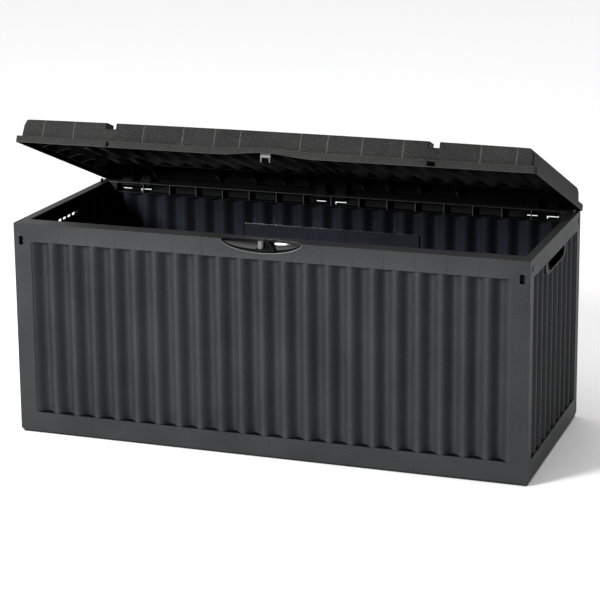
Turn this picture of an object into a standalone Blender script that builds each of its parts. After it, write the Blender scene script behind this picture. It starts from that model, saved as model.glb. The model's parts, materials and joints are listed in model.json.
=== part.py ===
"""Deck storage box in moulded resin: four corrugated wall panels clipped round a floor panel,
with a one-piece lid on three pinned hinges.

World frame: metres, +Z up, +X along the box to its right, the front faces -Y.
The origin is on the ground, under the middle of the box. The lid is modelled open.
"""

import math

import bmesh
import bpy
from mathutils import Matrix, Vector

# ---------------------------------------------------------------- driving dimensions (metres)

BOX_LENGTH = 1.200
BOX_DEPTH = 0.500
RIM_HEIGHT = 0.497            # top of the four walls above the ground
FIT_GAP = 0.0004              # clearance between pieces that touch
STAGGER = 0.0003              # joined members end this far apart, so no two of their faces coincide

PLINTH_HEIGHT = 0.005         # the floor panel's rim, under the walls
PLINTH_INSET = 0.004
WALL_FOOT = PLINTH_HEIGHT + FIT_GAP

FACE = 0.003                  # thickness of the flat frame of a wall
SHEET = 0.0024                # thickness of the corrugated sheet
RIB = 0.0022                  # thickness of the stiffening ribs
TOP_RAIL = 0.0415             # visible height of the frame above the corrugation
BOTTOM_RAIL = 0.045           # visible height of the frame below it
CHANNEL_HEIGHT = 0.025        # inside height of the channel under the rim
CREST_INSET = 0.0015          # the crests lie just behind the frame's face
FLANGE_PROUD = 0.0006         # the flanges reach this far behind the sheet
LONG_STILE = 0.0416           # frame width at the ends of the long walls
SHORT_STILE = 0.032           # frame width at the ends of the short walls, from the corner
LONG_WAVES = 22
SHORT_WAVES = 9
WAVE_STEPS = 6                # facets to each wave
LONG_WAVE_DEPTH = 0.0185
SHORT_WAVE_DEPTH = 0.0150
RIB_PITCH = 0.069
FRONT_LEDGE = 0.045           # how far the rim reaches inwards
REAR_LEDGE = 0.022
SIDE_LEDGE = 0.020

SLOT_SIZE = (0.011, 0.021)    # corner windows, width and height
SLOT_FROM_END = 0.0175        # middle of the window from the corner
SLOT_HEIGHT = 0.457
SIDE_SLOT_SIZE = (0.011, 0.015)
SIDE_SLOT_HEIGHT = 0.476
SLOT_ROUND = 0.0035           # radius of the windows' corners

HANDLE_HALF = 0.080           # half the length of the hand pocket in each short wall
HANDLE_TOP = RIM_HEIGHT - TOP_RAIL - 0.001
HANDLE_BOTTOM = 0.432
HANDLE_BOSS_HALF = 0.100
HANDLE_BOSS_BOTTOM = 0.4265
HANDLE_ROUND = 0.92           # radius of the lower corners, as a share of the pocket's height
HANDLE_ROUND_STEPS = 6        # facets to each of those corners
GUARD = 0.002                 # thickness of the guard that closes the pocket
GAP_SIZE = (0.017, 0.0065)    # gaps through the guard, behind the top rail
GAPS = 5                      # half a wave of the short wall apart
EAR_FROM_END = 0.014          # small upright ear on the rim, near the rear end of each short wall
EAR_HALF = 0.006
EAR_DEPTH = (0.006, 0.009)
EAR_RISE = 0.0085
REAR_PLATE_HALF = 0.220       # flat plate inside the rear wall
REAR_PLATE_HEIGHT = (0.296, 0.416)
REAR_PLATE_THICKNESS = 0.0045

SCOOP_RADII = (0.0945, 0.0265, 0.0280)   # finger scoop in the front rail
SCOOP_CENTRE = (0.0, 0.0002, RIM_HEIGHT + 0.0006)   # from the middle of the front wall's face
SCOOP_WALL = 0.0025

FLOOR_INSET = (0.0235, 0.0265)   # the tray's sides from the box's outside, in x and in y
FLOOR_PLATE = (0.030, 0.033)  # lower and upper face of the plate
FLOOR_RIB_PITCH = 0.115
FLOOR_PAD_HALF = 0.030        # flat pad in the middle that stands on the ground

KEY_HEIGHT = (0.425, 0.488)
KEY_INSET = 0.0075            # the key's outer faces from the box's outside
KEY_THICKNESS = 0.0035
KEY_LEGS = (0.025, 0.0125)
KEY_BEVEL = 0.0006

LID_OPEN = math.radians(21.0)
LID_SIDE_OVERHANG = 0.002
LID_FRONT_OVERHANG = 0.010
LID_REAR_OVERHANG = 0.015
LID_WALL = 0.003
LID_BOTTOM = RIM_HEIGHT + 0.002
LID_BAND = 0.015              # height of the plain band round the lid's foot
LID_HEIGHT = 0.055
LID_SHOULDER = 0.009          # the lid steps in above the band
LID_DRAFT = 0.004
LID_CAMBER = 0.004            # the top stands this much higher in the middle
LID_BORDER = 0.042            # flat border round the sunken field
FIELD_DROP = 0.019            # the field's lowest surface below the border
FIELD_WAVE = 0.009
ARCH_HALF = 0.112             # finger arch in the lid's front band
ARCH_RISE = 0.0085
ARCH_STEPS = 14
NOTCH_X = 0.3745              # drain notches in the front border
NOTCH_WIDTH = 0.024
NOTCH_DEPTH = 0.014
GUSSET_RISE = 0.007           # the gussets start this high above the lid's foot
LID_STEPS = 13                # facets along the lid's crown

HINGE_PLACES = {"left": -0.512, "center": -0.005, "right": 0.512}
AXIS_Y = BOX_DEPTH / 2 - 0.005
AXIS_Z = RIM_HEIGHT - 0.009
KNUCKLE_RADIUS = 0.0085
BORE_RADIUS = 0.0034
PIN_RADIUS = 0.0030
KNUCKLE_SIDES = 20            # facets round a knuckle
BORE_SIDES = 16               # facets round a bore and round a pin
BODY_KNUCKLE = 0.022          # width of the knuckle on the wall
LID_KNUCKLE = 0.026           # width of each of the two on the lid
HINGE_NOTCH_HALF = 0.042
HINGE_NOTCH_DEPTH = 0.0145
HINGE_NOTCH_FLOOR = RIM_HEIGHT - 0.0205   # under the lid's knuckles
BRACKET_NOTCH_HALF = 0.0125   # deeper notch in the middle, for the bracket
BRACKET_REACH = (0.007, 0.0042)   # the bracket's faces in front of and behind the axis
LEAF_BACK = 0.003             # the leaf's rear face behind the axis
LEAF_PLATE_RISE = 0.034       # the leaf's plate above the axis
PIN_HEAD = (0.0018, 0.0016)   # how far the head stands out, and its thickness
PIN_CHAMFER = 0.0006
PIN_MERGE = 0.00005           # joins the turned profile's points on the pin's own axis

HASP_X = -0.005
HASP_WIDTH = 0.023
HASP_Y = -BOX_DEPTH / 2 + 0.0095
HASP_THICKNESS = 0.004
HASP_TIP = RIM_HEIGHT - 0.0065
HASP_SHOULDER = RIM_HEIGHT + 0.0035   # lower edge of the plate between the prongs
PRONG_WIDTH = 0.0032
PRONG_CURL = 0.0035           # how far a prong's tip lies behind its root

LOCK_BASE = RIM_HEIGHT - 0.0195       # upper face of the insert's foot
LOCK_TOP = RIM_HEIGHT - 0.003
LOCK_FOOT_X = (-0.016, 0.030)
LOCK_FOOT_FRONT = 0.004
POST_RADIUS = 0.0058
POST_DEPTH = 0.0125           # middle of the post behind the front face
POST_FLUTES = 10
WEDGE_X = (0.0085, 0.0125, 0.0275)    # near side, top's far end and foot's far end
WEDGE_DEPTH = (0.006, 0.018)
EYE_X = 0.0150
EYE_HEIGHT = RIM_HEIGHT - 0.0115
EYE_RADIUS = 0.0032
LOCK_CLEARANCE = 0.0009

COLLECTION_NAME = "deck_storage_box"
CUTTER_COLLECTION = "cutters"


# ---------------------------------------------------------------- scene and materials

def clear_scene():
    """Remove every object and every collection that an earlier run left."""
    for obj in list(bpy.data.objects):
        bpy.data.objects.remove(obj, do_unlink=True)
    for collection in list(bpy.data.collections):
        bpy.data.collections.remove(collection)


def make_collection(name):
    """A new collection in the scene."""
    collection = bpy.data.collections.new(name)
    bpy.context.scene.collection.children.link(collection)
    return collection


def make_material(name, colour, roughness):
    """A Principled material of one colour, not metallic."""
    material = bpy.data.materials.new(name)
    material.use_nodes = True
    shader = material.node_tree.nodes["Principled BSDF"]
    shader.inputs["Base Color"].default_value = (*colour, 1.0)
    shader.inputs["Roughness"].default_value = roughness
    shader.inputs["Metallic"].default_value = 0.0
    material.diffuse_color = (*colour, 1.0)
    return material


# ---------------------------------------------------------------- mesh helpers

def object_from_bmesh(name, bm, collection, material=None):
    """Turn a bmesh into an object with outward faces."""
    bmesh.ops.recalc_face_normals(bm, faces=bm.faces)
    mesh = bpy.data.meshes.new(name)
    bm.to_mesh(mesh)
    bm.free()
    obj = bpy.data.objects.new(name, mesh)
    collection.objects.link(obj)
    if material:
        mesh.materials.append(material)
    return obj


def add_box(bm, low, high):
    """Add one axis-aligned box to a bmesh and return its vertices."""
    low = Vector(low)
    high = Vector(high)
    size = high - low
    place = Matrix.Translation((low + high) / 2) @ Matrix.Diagonal((*size, 1.0))
    return bmesh.ops.create_cube(bm, size=1.0, matrix=place)["verts"]


def box_object(name, low, high, collection, material=None):
    """One box as an object."""
    bm = bmesh.new()
    add_box(bm, low, high)
    return object_from_bmesh(name, bm, collection, material)


def cutter_from_boxes(name, boxes):
    """Boxes in one helper object, for a Boolean; each is a pair of opposite corners."""
    bm = bmesh.new()
    for low, high in boxes:
        add_box(bm, low, high)
    return as_cutter(object_from_bmesh(name, bm, cutters))


def as_cutter(obj):
    """Hide a helper object from renders and show it as wire."""
    obj.hide_render = True
    obj.display_type = "WIRE"
    return obj


def boolean(target, other, operation, solver="EXACT"):
    """Add a Boolean modifier."""
    modifier = target.modifiers.new(operation.lower() + "_" + other.name, "BOOLEAN")
    modifier.operation = operation
    modifier.object = other
    modifier.solver = solver
    return modifier


def cylinder_cutter(name, centre, radius, length, axis, segments=24):
    """A helper cylinder with its axis along X, Y or Z."""
    turn = {"X": Matrix.Rotation(math.pi / 2, 4, "Y"),
            "Y": Matrix.Rotation(math.pi / 2, 4, "X"),
            "Z": Matrix.Identity(4)}[axis]
    bm = bmesh.new()
    bmesh.ops.create_cone(bm, cap_ends=True, segments=segments, radius1=radius, radius2=radius,
                          depth=length, matrix=Matrix.Translation(centre) @ turn)
    return as_cutter(object_from_bmesh(name, bm, cutters))


def ellipsoid_cutter(name, centre, radii, segments=40, rings=20):
    """A helper ellipsoid."""
    bm = bmesh.new()
    place = Matrix.Translation(centre) @ Matrix.Diagonal((*radii, 1.0))
    bmesh.ops.create_uvsphere(bm, u_segments=segments, v_segments=rings, radius=1.0, matrix=place)
    return as_cutter(object_from_bmesh(name, bm, cutters))


def prism(name, outline, low, high, along, collection):
    """An outline extruded from low to high: XZ points along Y, or XY points along Z."""
    bm = bmesh.new()
    if along == "Y":
        ring = [bm.verts.new((first, low, second)) for first, second in outline]
        step = Vector((0.0, high - low, 0.0))
    else:
        ring = [bm.verts.new((first, second, low)) for first, second in outline]
        step = Vector((0.0, 0.0, high - low))
    face = bm.faces.new(ring)
    extruded = bmesh.ops.extrude_face_region(bm, geom=[face])["geom"]
    moved = [item for item in extruded if isinstance(item, bmesh.types.BMVert)]
    bmesh.ops.translate(bm, verts=moved, vec=step)
    return object_from_bmesh(name, bm, collection)


def prism_cutter(name, outline, low, high, along="Y"):
    """A prism as a helper."""
    return as_cutter(prism(name, outline, low, high, along, cutters))


def add_bevel(obj, width, segments=2, angle=40.0):
    """Round the sharp edges of an object."""
    bevel = obj.modifiers.new("rounded_edges", "BEVEL")
    bevel.width = width
    bevel.segments = segments
    bevel.limit_method = "ANGLE"
    bevel.angle_limit = math.radians(angle)
    return bevel


def shade_round(obj, angle=35.0):
    """Smooth shading that keeps edges sharper than the angle."""
    obj.data.shade_smooth()
    obj.data.set_sharp_from_angle(angle=math.radians(angle))


def evenly(low, high, pitch):
    """Middles of ribs from low to high, near the wanted pitch, none at the two ends."""
    count = max(1, round((high - low) / pitch))
    step = (high - low) / count
    return [low + step * index for index in range(1, count)]


# ---------------------------------------------------------------- corrugated sheets

def corrugated_sheet(name, length, height, waves, depth, material, collection):
    """A corrugated sheet in the XZ plane, crests at y=0 at both ends, valleys at y=depth."""
    steps = waves * WAVE_STEPS
    bm = bmesh.new()
    bmesh.ops.create_grid(bm, x_segments=steps, y_segments=1, size=0.5,
                          matrix=Matrix.Rotation(math.pi / 2, 4, "X"))
    for vert in bm.verts:
        phase = (vert.co.x + 0.5) * waves
        vert.co = Vector((vert.co.x * length,
                          depth * (1.0 - math.cos(2.0 * math.pi * phase)) / 2.0,
                          (vert.co.z + 0.5) * height))
    mesh = bpy.data.meshes.new(name)
    bm.to_mesh(mesh)
    bm.free()
    obj = bpy.data.objects.new(name, mesh)
    collection.objects.link(obj)
    mesh.materials.append(material)
    return obj


# ---------------------------------------------------------------- wall panels

def span_box(side, near, far, y_span, z_span):
    """A box between two distances from the middle, on the +x or the -x side."""
    x_low, x_high = sorted((side * near, side * far))
    return ((x_low, y_span[0], z_span[0]), (x_high, y_span[1], z_span[1]))


def wall_members(opening, flange, ledge, ledge_span, inner_half):
    """Ledges, end flanges, inner plates and ribs of a wall, in its own frame.

    x runs along the wall, y=0 is the outer face and +y points into the box. Each list holds
    boxes that stay apart from each other.
    """
    channel_floor = RIM_HEIGHT - CHANNEL_HEIGHT
    sill = WALL_FOOT + BOTTOM_RAIL
    foot = WALL_FOOT + STAGGER
    under_rim = RIM_HEIGHT - FACE
    root = FACE / 2
    end = opening + root
    ledges = [
        ((ledge_span[0], root, under_rim), (ledge_span[1], ledge, RIM_HEIGHT - STAGGER)),
        ((-end, root, channel_floor - FACE), (end, ledge, channel_floor)),
        ((-end, root, sill - FACE), (end, flange, sill - STAGGER)),
        ((-end, root, foot), (end, flange, foot + FACE)),
    ]
    upright = (foot + STAGGER, under_rim - FIT_GAP)
    flanges = [span_box(side, opening + STAGGER, opening + FACE, (root, flange - STAGGER), upright)
               for side in (-1, 1)]
    plate_upright = (upright[0] + STAGGER, upright[1] - STAGGER)
    plate_depth = (flange - SHEET, flange + STAGGER)
    plates = [span_box(side, opening + FACE / 3, inner_half, plate_depth, plate_upright)
              for side in (-1, 1)]
    ribs = []
    for middle in evenly(-opening, opening, RIB_PITCH):
        ribs.append(((middle - RIB / 2, root, channel_floor - root),
                     (middle + RIB / 2, ledge - RIB, under_rim + root)))
        ribs.append(((middle - RIB / 2, root, foot + root),
                     (middle + RIB / 2, flange - RIB, sill - root)))
    return {"ledges": ledges, "end_flanges": flanges, "inner_plates": plates, "ribs": ribs}


def wall_panel(name, half, opening, waves, depth, ledge, ledge_span, inner_half, material):
    """A wall: flat frame, corrugated sheet and members. The sheet runs up behind the top rail."""
    sheet_top = RIM_HEIGHT - CHANNEL_HEIGHT - FACE / 2
    sheet_foot = WALL_FOOT + BOTTOM_RAIL - FACE / 2
    flange = CREST_INSET + depth + SHEET + FLANGE_PROUD
    wall = box_object(name, (-half, 0.0, WALL_FOOT), (half, FACE, RIM_HEIGHT), parts, material)
    window = cutter_from_boxes(name + "_window", [((-opening, -FACE, WALL_FOOT + BOTTOM_RAIL),
                                                   (opening, 2 * FACE, RIM_HEIGHT - TOP_RAIL))])
    window.parent = wall
    boolean(wall, window, "DIFFERENCE")
    sheet = corrugated_sheet(name + "_sheet", 2 * opening + FACE / 2, sheet_top - sheet_foot,
                             waves, depth, material, cutters)
    sheet.data.transform(Matrix.Translation((0.0, CREST_INSET, sheet_foot)))
    solid = sheet.modifiers.new("sheet_thickness", "SOLIDIFY")
    solid.thickness = SHEET
    solid.offset = -1.0
    as_cutter(sheet).parent = wall
    boolean(wall, sheet, "UNION")
    for member, boxes in wall_members(opening, flange, ledge, ledge_span, inner_half).items():
        helper = cutter_from_boxes(name + "_" + member, boxes)
        helper.parent = wall
        boolean(wall, helper, "UNION")
    return wall


def cut_corner_windows(wall, half, size, height):
    """Small windows through the frame near the top of its ends, where the corner keys show."""
    boxes = []
    for side in (-1, 1):
        middle = side * (half - SLOT_FROM_END)
        boxes.append(((middle - size[0] / 2, -2 * FACE, height - size[1] / 2),
                      (middle + size[0] / 2, 4 * FACE, height + size[1] / 2)))
    windows = cutter_from_boxes(wall.name + "_windows", boxes)
    add_bevel(windows, SLOT_ROUND)
    windows.parent = wall
    boolean(wall, windows, "DIFFERENCE")


def place_wall(wall, location, turn):
    """Stand a wall in its place, turned about Z."""
    wall.location = location
    wall.rotation_euler.z = turn


def make_front_panel(material):
    """Front wall, with the finger scoop in the middle of its top rail."""
    half = BOX_LENGTH / 2
    opening = half - LONG_STILE
    inner_half = half - SIDE_LEDGE - FIT_GAP
    ledge_half = half - FACE - FIT_GAP
    wall = wall_panel("front_panel", half, opening, LONG_WAVES, LONG_WAVE_DEPTH,
                      FRONT_LEDGE, (-ledge_half, ledge_half), inner_half, material)
    outer_radii = [radius + SCOOP_WALL for radius in SCOOP_RADII]
    outer = ellipsoid_cutter("scoop_shell", SCOOP_CENTRE, outer_radii)
    keep = cutter_from_boxes("scoop_shell_limit", [((-BOX_LENGTH, FACE / 3, 0.0),
                                                    (BOX_LENGTH, BOX_DEPTH, RIM_HEIGHT - FACE / 2))])
    boolean(outer, keep, "INTERSECT")
    inner = ellipsoid_cutter("scoop_hollow", SCOOP_CENTRE, SCOOP_RADII)
    for helper in (outer, keep, inner):
        helper.parent = wall
    boolean(wall, outer, "UNION")
    boolean(wall, inner, "DIFFERENCE")
    cut_corner_windows(wall, half, SLOT_SIZE, SLOT_HEIGHT)
    place_wall(wall, (0.0, -BOX_DEPTH / 2, 0.0), 0.0)
    return wall


def make_rear_panel(material):
    """Rear wall, notched for the three hinges, with a flat plate inside."""
    half = BOX_LENGTH / 2
    opening = half - LONG_STILE
    inner_half = half - SIDE_LEDGE - FIT_GAP
    ledge_half = half - FACE - FIT_GAP
    wall = wall_panel("rear_panel", half, opening, LONG_WAVES, LONG_WAVE_DEPTH,
                      REAR_LEDGE, (-ledge_half, ledge_half), inner_half, material)
    plate_front = CREST_INSET + LONG_WAVE_DEPTH + STAGGER
    plate = cutter_from_boxes("inner_plate", [
        ((-REAR_PLATE_HALF, plate_front, REAR_PLATE_HEIGHT[0]),
         (REAR_PLATE_HALF, plate_front + REAR_PLATE_THICKNESS, REAR_PLATE_HEIGHT[1]))])
    plate.parent = wall
    boolean(wall, plate, "UNION")
    bracket_floor = RIM_HEIGHT - CHANNEL_HEIGHT - STAGGER
    for tag, half_width, notch_floor, depth in (
            ("hinge_notches", HINGE_NOTCH_HALF, HINGE_NOTCH_FLOOR, HINGE_NOTCH_DEPTH),
            ("bracket_notches", BRACKET_NOTCH_HALF, bracket_floor, HINGE_NOTCH_DEPTH - STAGGER)):
        notches = []
        for place in HINGE_PLACES.values():
            notches.append(((-place - half_width, -FACE, notch_floor),
                            (-place + half_width, depth, RIM_HEIGHT + FACE)))
        notch = cutter_from_boxes(tag, notches)
        notch.parent = wall
        boolean(wall, notch, "DIFFERENCE")
    cut_corner_windows(wall, half, SLOT_SIZE, SLOT_HEIGHT)
    place_wall(wall, (0.0, BOX_DEPTH / 2, 0.0), math.pi)
    return wall


def hand_pocket_outline(half, bottom, top):
    """Flat at the top, rounded at both lower corners."""
    radius = (HANDLE_TOP - bottom) * HANDLE_ROUND
    outline = [(-half, top), (half, top)]
    for centre_x, start in ((half - radius, 0.0), (-half + radius, -math.pi / 2)):
        for step in range(HANDLE_ROUND_STEPS + 1):
            angle = start - step * math.pi / 2 / HANDLE_ROUND_STEPS
            outline.append((centre_x + radius * math.cos(angle),
                            bottom + radius + radius * math.sin(angle)))
    return outline


def add_hand_pocket(wall, opening):
    """Raised rim and finger pocket under the top rail; the guard behind it has a row of gaps."""
    back = SHORT_WAVE_DEPTH + SHEET + CREST_INSET + STAGGER
    pocket = back - GUARD
    rim_top = RIM_HEIGHT - CHANNEL_HEIGHT - FACE / 3
    rim = prism_cutter(wall.name + "_pocket_rim",
                       hand_pocket_outline(HANDLE_BOSS_HALF, HANDLE_BOSS_BOTTOM, rim_top),
                       FACE / 6, back)
    hole = prism_cutter(wall.name + "_pocket",
                        hand_pocket_outline(HANDLE_HALF, HANDLE_BOTTOM, HANDLE_TOP), -FACE, pocket)
    gap_foot = HANDLE_TOP + FACE / 3
    gap_top = gap_foot + GAP_SIZE[1]
    roof_half = HANDLE_HALF - FACE
    roof = cutter_from_boxes(wall.name + "_pocket_roof", [
        ((-roof_half, FACE + STAGGER, HANDLE_TOP - FACE),
         (roof_half, pocket - STAGGER, gap_top + STAGGER))])
    half_wave = opening / SHORT_WAVES
    gaps = []
    for index in range(GAPS):
        middle = (index - (GAPS - 1) / 2) * half_wave
        gaps.append(((middle - GAP_SIZE[0] / 2, pocket - FACE, gap_foot),
                     (middle + GAP_SIZE[0] / 2, back + FACE, gap_top)))
    light_gaps = cutter_from_boxes(wall.name + "_light_gaps", gaps)
    for helper, operation in ((rim, "UNION"), (hole, "DIFFERENCE"),
                              (roof, "DIFFERENCE"), (light_gaps, "DIFFERENCE")):
        helper.parent = wall
        boolean(wall, helper, operation)


def add_rear_ear(wall, middle):
    """Small upright ear on the rim."""
    ear = cutter_from_boxes(wall.name + "_rear_ear", [
        ((middle - EAR_HALF, EAR_DEPTH[0], RIM_HEIGHT - FACE / 2),
         (middle + EAR_HALF, EAR_DEPTH[1], RIM_HEIGHT + EAR_RISE))])
    ear.parent = wall
    boolean(wall, ear, "UNION")


def make_side_panel(name, side, material):
    """Short wall with a hand pocket under its top rail; side is +1 on the right, -1 on the left."""
    half = BOX_DEPTH / 2 - FACE - FIT_GAP
    opening = BOX_DEPTH / 2 - SHORT_STILE
    inner_half = BOX_DEPTH / 2 - (LONG_WAVE_DEPTH + SHEET + CREST_INSET + FLANGE_PROUD) - FIT_GAP
    front_end = -(BOX_DEPTH / 2 - FRONT_LEDGE - FIT_GAP)
    rear_end = BOX_DEPTH / 2 - REAR_LEDGE - FIT_GAP
    ledge_span = (front_end, rear_end) if side > 0 else (-rear_end, -front_end)
    wall = wall_panel(name, half, opening, SHORT_WAVES, SHORT_WAVE_DEPTH,
                      SIDE_LEDGE, ledge_span, inner_half, material)
    add_hand_pocket(wall, opening)
    add_rear_ear(wall, side * (rear_end - EAR_FROM_END))
    cut_corner_windows(wall, half, SIDE_SLOT_SIZE, SIDE_SLOT_HEIGHT)
    place_wall(wall, (side * BOX_LENGTH / 2, 0.0, 0.0), side * math.pi / 2)
    return wall


# ---------------------------------------------------------------- floor and corner keys

def make_floor_panel(material):
    """Floor tray: a raised plate on ribs, with a low plinth that carries the walls."""
    half_x = BOX_LENGTH / 2 - FLOOR_INSET[0]
    half_y = BOX_DEPTH / 2 - FLOOR_INSET[1]
    plate_low, plate_high = FLOOR_PLATE
    plinth_x = BOX_LENGTH / 2 - PLINTH_INSET
    plinth_y = BOX_DEPTH / 2 - PLINTH_INSET
    overlap = FACE / 2
    floor = box_object("floor_panel", (-half_x, -half_y, STAGGER), (half_x, half_y, plate_high),
                       parts, material)
    hollow = cutter_from_boxes("floor_hollow", [((-half_x + FACE, -half_y + FACE, -FACE),
                                                 (half_x - FACE, half_y - FACE, plate_low))])
    boolean(floor, hollow, "DIFFERENCE")
    plinth = box_object("plinth", (-plinth_x, -plinth_y, 0.0), (plinth_x, plinth_y, PLINTH_HEIGHT), cutters)
    inside = cutter_from_boxes("plinth_hollow", [((-half_x + overlap, -half_y + overlap, -FACE),
                                                  (half_x - overlap, half_y - overlap, 2 * PLINTH_HEIGHT))])
    boolean(as_cutter(plinth), inside, "DIFFERENCE")
    boolean(floor, plinth, "UNION")
    rib_top = plate_low + overlap
    crosswise = []
    for middle in evenly(-half_x, half_x, FLOOR_RIB_PITCH):
        crosswise.append(((middle - RIB / 2, -half_y + overlap, FACE),
                          (middle + RIB / 2, half_y - overlap, rib_top)))
    lengthwise = []
    for middle in evenly(-half_y, half_y, FLOOR_RIB_PITCH):
        lengthwise.append(((-half_x + overlap, middle - RIB / 2, FACE + STAGGER),
                           (half_x - overlap, middle + RIB / 2, rib_top - STAGGER)))
    pad = [((-FLOOR_PAD_HALF, -FLOOR_PAD_HALF, 0.0), (FLOOR_PAD_HALF, FLOOR_PAD_HALF, rib_top + STAGGER))]
    for tag, boxes in (("crosswise", crosswise), ("lengthwise", lengthwise), ("pad", pad)):
        boolean(floor, cutter_from_boxes("floor_" + tag, boxes), "UNION")
    return floor


def make_corner_key(name, side_x, side_y, material):
    """Angle-shaped key that locks a long wall to a short one behind the corner windows."""
    long_leg, short_leg = KEY_LEGS
    thick = KEY_THICKNESS
    corner = Vector((side_x * (BOX_LENGTH / 2 - KEY_INSET), side_y * (BOX_DEPTH / 2 - KEY_INSET)))
    outline = [(0.0, 0.0), (long_leg, 0.0), (long_leg, thick), (2 * thick, thick),
               (thick, 2 * thick), (thick, short_leg), (0.0, short_leg)]
    placed = [(corner.x - side_x * x, corner.y - side_y * y) for x, y in outline]
    key = prism(name, placed, KEY_HEIGHT[0], KEY_HEIGHT[1], "Z", parts)
    key.data.materials.append(material)
    add_bevel(key, KEY_BEVEL, segments=1)
    return key


# ---------------------------------------------------------------- lid

def camber(x):
    """Height of the lid's slow crown at x."""
    return LID_CAMBER * (1.0 - (x / (BOX_LENGTH / 2)) ** 2)


def tapered_block(name, low, high, taper, steps, crown):
    """A block whose top is smaller by the taper on each side and bows up along X."""
    bm = bmesh.new()
    verts = add_box(bm, low, high)
    lengthwise = [edge for edge in bm.edges
                  if abs(edge.verts[0].co.x - edge.verts[1].co.x) > (high[0] - low[0]) / 2]
    bmesh.ops.subdivide_edges(bm, edges=lengthwise, cuts=steps - 1, use_grid_fill=True)
    middle_x = (low[0] + high[0]) / 2
    middle_y = (low[1] + high[1]) / 2
    for vert in bm.verts:
        if vert.co.z > (low[2] + high[2]) / 2:
            half_x = (high[0] - low[0]) / 2
            vert.co.x = middle_x + (vert.co.x - middle_x) * (half_x - taper) / half_x
            vert.co.y -= math.copysign(taper, vert.co.y - middle_y)
            if crown:
                vert.co.z += camber(vert.co.x)
    return as_cutter(object_from_bmesh(name, bm, cutters))


def lid_edges():
    """Left, right, front and rear of the lid's foot when it is closed."""
    half_x = BOX_LENGTH / 2 + LID_SIDE_OVERHANG
    return -half_x, half_x, -BOX_DEPTH / 2 - LID_FRONT_OVERHANG, BOX_DEPTH / 2 + LID_REAR_OVERHANG


def lid_block(name, inset, low_z, high_z, taper, crown):
    """A solid block over the lid's plan, inset by a distance on all sides."""
    left, right, front, rear = lid_edges()
    return tapered_block(name, (left + inset, front + inset, low_z), (right - inset, rear - inset, high_z),
                         taper, LID_STEPS, crown)


def lid_field(material):
    """Corrugated field of the lid, crests running front to back, modelled about its own middle."""
    left, right, front, rear = lid_edges()
    inset = LID_SHOULDER + LID_BORDER
    length = right - left - 2 * inset + LID_WALL
    width = rear - front - 2 * inset + LID_WALL
    field = corrugated_sheet("lid", length, width, LONG_WAVES - 1, FIELD_WAVE, material, parts)
    lay_flat = Matrix.Rotation(math.pi / 2, 4, "X")
    field.data.transform(Matrix.Translation((0.0, 0.0, -width / 2)))
    field.data.transform(lay_flat)
    low_z = LID_BOTTOM + LID_HEIGHT - FIELD_DROP
    for vert in field.data.vertices:
        vert.co.z += low_z + camber(vert.co.x)
    field.data.transform(Matrix.Translation((0.0, (front + rear) / 2, 0.0)))
    solid = field.modifiers.new("sheet_thickness", "SOLIDIFY")
    solid.thickness = SHEET
    solid.offset = 1.0
    solid.use_even_offset = True
    return field


def lid_shell():
    """Hollow lid casing with a window where the sunken field goes, as a helper solid."""
    top = LID_BOTTOM + LID_HEIGHT
    band_top = LID_BOTTOM + LID_BAND
    casing = lid_block("lid_casing", LID_SHOULDER, band_top - 2 * LID_WALL, top, LID_DRAFT, True)
    band = lid_block("lid_band", 0.0, LID_BOTTOM, band_top, 0.0, False)
    hollow_band = lid_block("lid_band_hollow", LID_WALL, LID_BOTTOM - LID_WALL, band_top - LID_WALL,
                            0.0, False)
    hollow = lid_block("lid_hollow", LID_SHOULDER + LID_WALL, LID_BOTTOM, top - LID_WALL,
                       LID_DRAFT, True)
    inset = LID_SHOULDER + LID_BORDER
    well_low = top - FIELD_DROP - FACE / 3
    well = lid_block("lid_well", inset - LID_WALL, well_low, top - LID_WALL / 2, 0.0, True)
    well_hollow = lid_block("lid_well_hollow", inset, LID_BOTTOM, top + LID_CAMBER + LID_WALL, 0.0, False)
    for other, operation in ((band, "UNION"), (hollow_band, "DIFFERENCE"), (hollow, "DIFFERENCE"),
                             (well, "UNION"), (well_hollow, "DIFFERENCE")):
        boolean(casing, other, operation, solver="MANIFOLD")
    return casing


def lid_rib_boxes():
    """Gussets inside the band, between the lid's outer wall and the well's wall."""
    left, right, front, rear = lid_edges()
    inset = LID_SHOULDER + LID_BORDER
    low = LID_BOTTOM + GUSSET_RISE
    high = LID_BOTTOM + LID_HEIGHT - 2 * LID_WALL
    outer = LID_SHOULDER + LID_WALL / 2
    inner = inset - LID_WALL / 3
    boxes = []
    for x in evenly(left + inset, right - inset, RIB_PITCH):
        if abs(x - HASP_X) > HASP_WIDTH:
            boxes.append(((x - RIB / 2, front + outer, low), (x + RIB / 2, front + inner, high)))
        nearest_hinge = min(abs(x - place) for place in HINGE_PLACES.values())
        if nearest_hinge > HINGE_NOTCH_HALF + 2 * RIB:
            boxes.append(((x - RIB / 2, rear - inner, low), (x + RIB / 2, rear - outer, high)))
    for y in evenly(front + inset, rear - inset, RIB_PITCH):
        boxes.append(((left + outer, y - RIB / 2, low), (left + inner, y + RIB / 2, high)))
        boxes.append(((right - inner, y - RIB / 2, low), (right - outer, y + RIB / 2, high)))
    return boxes


def arch_outline():
    """Shallow arch that lifts the lid's front band in the middle."""
    below = LID_BOTTOM - LID_WALL
    outline = [(-ARCH_HALF, below), (ARCH_HALF, below)]
    for index in range(ARCH_STEPS + 1):
        x = ARCH_HALF * (1.0 - 2.0 * index / ARCH_STEPS)
        rise = ARCH_RISE * (math.cos(math.pi * x / ARCH_HALF) + 1.0) / 2.0
        outline.append((x, LID_BOTTOM - STAGGER + rise))
    return outline


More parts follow.
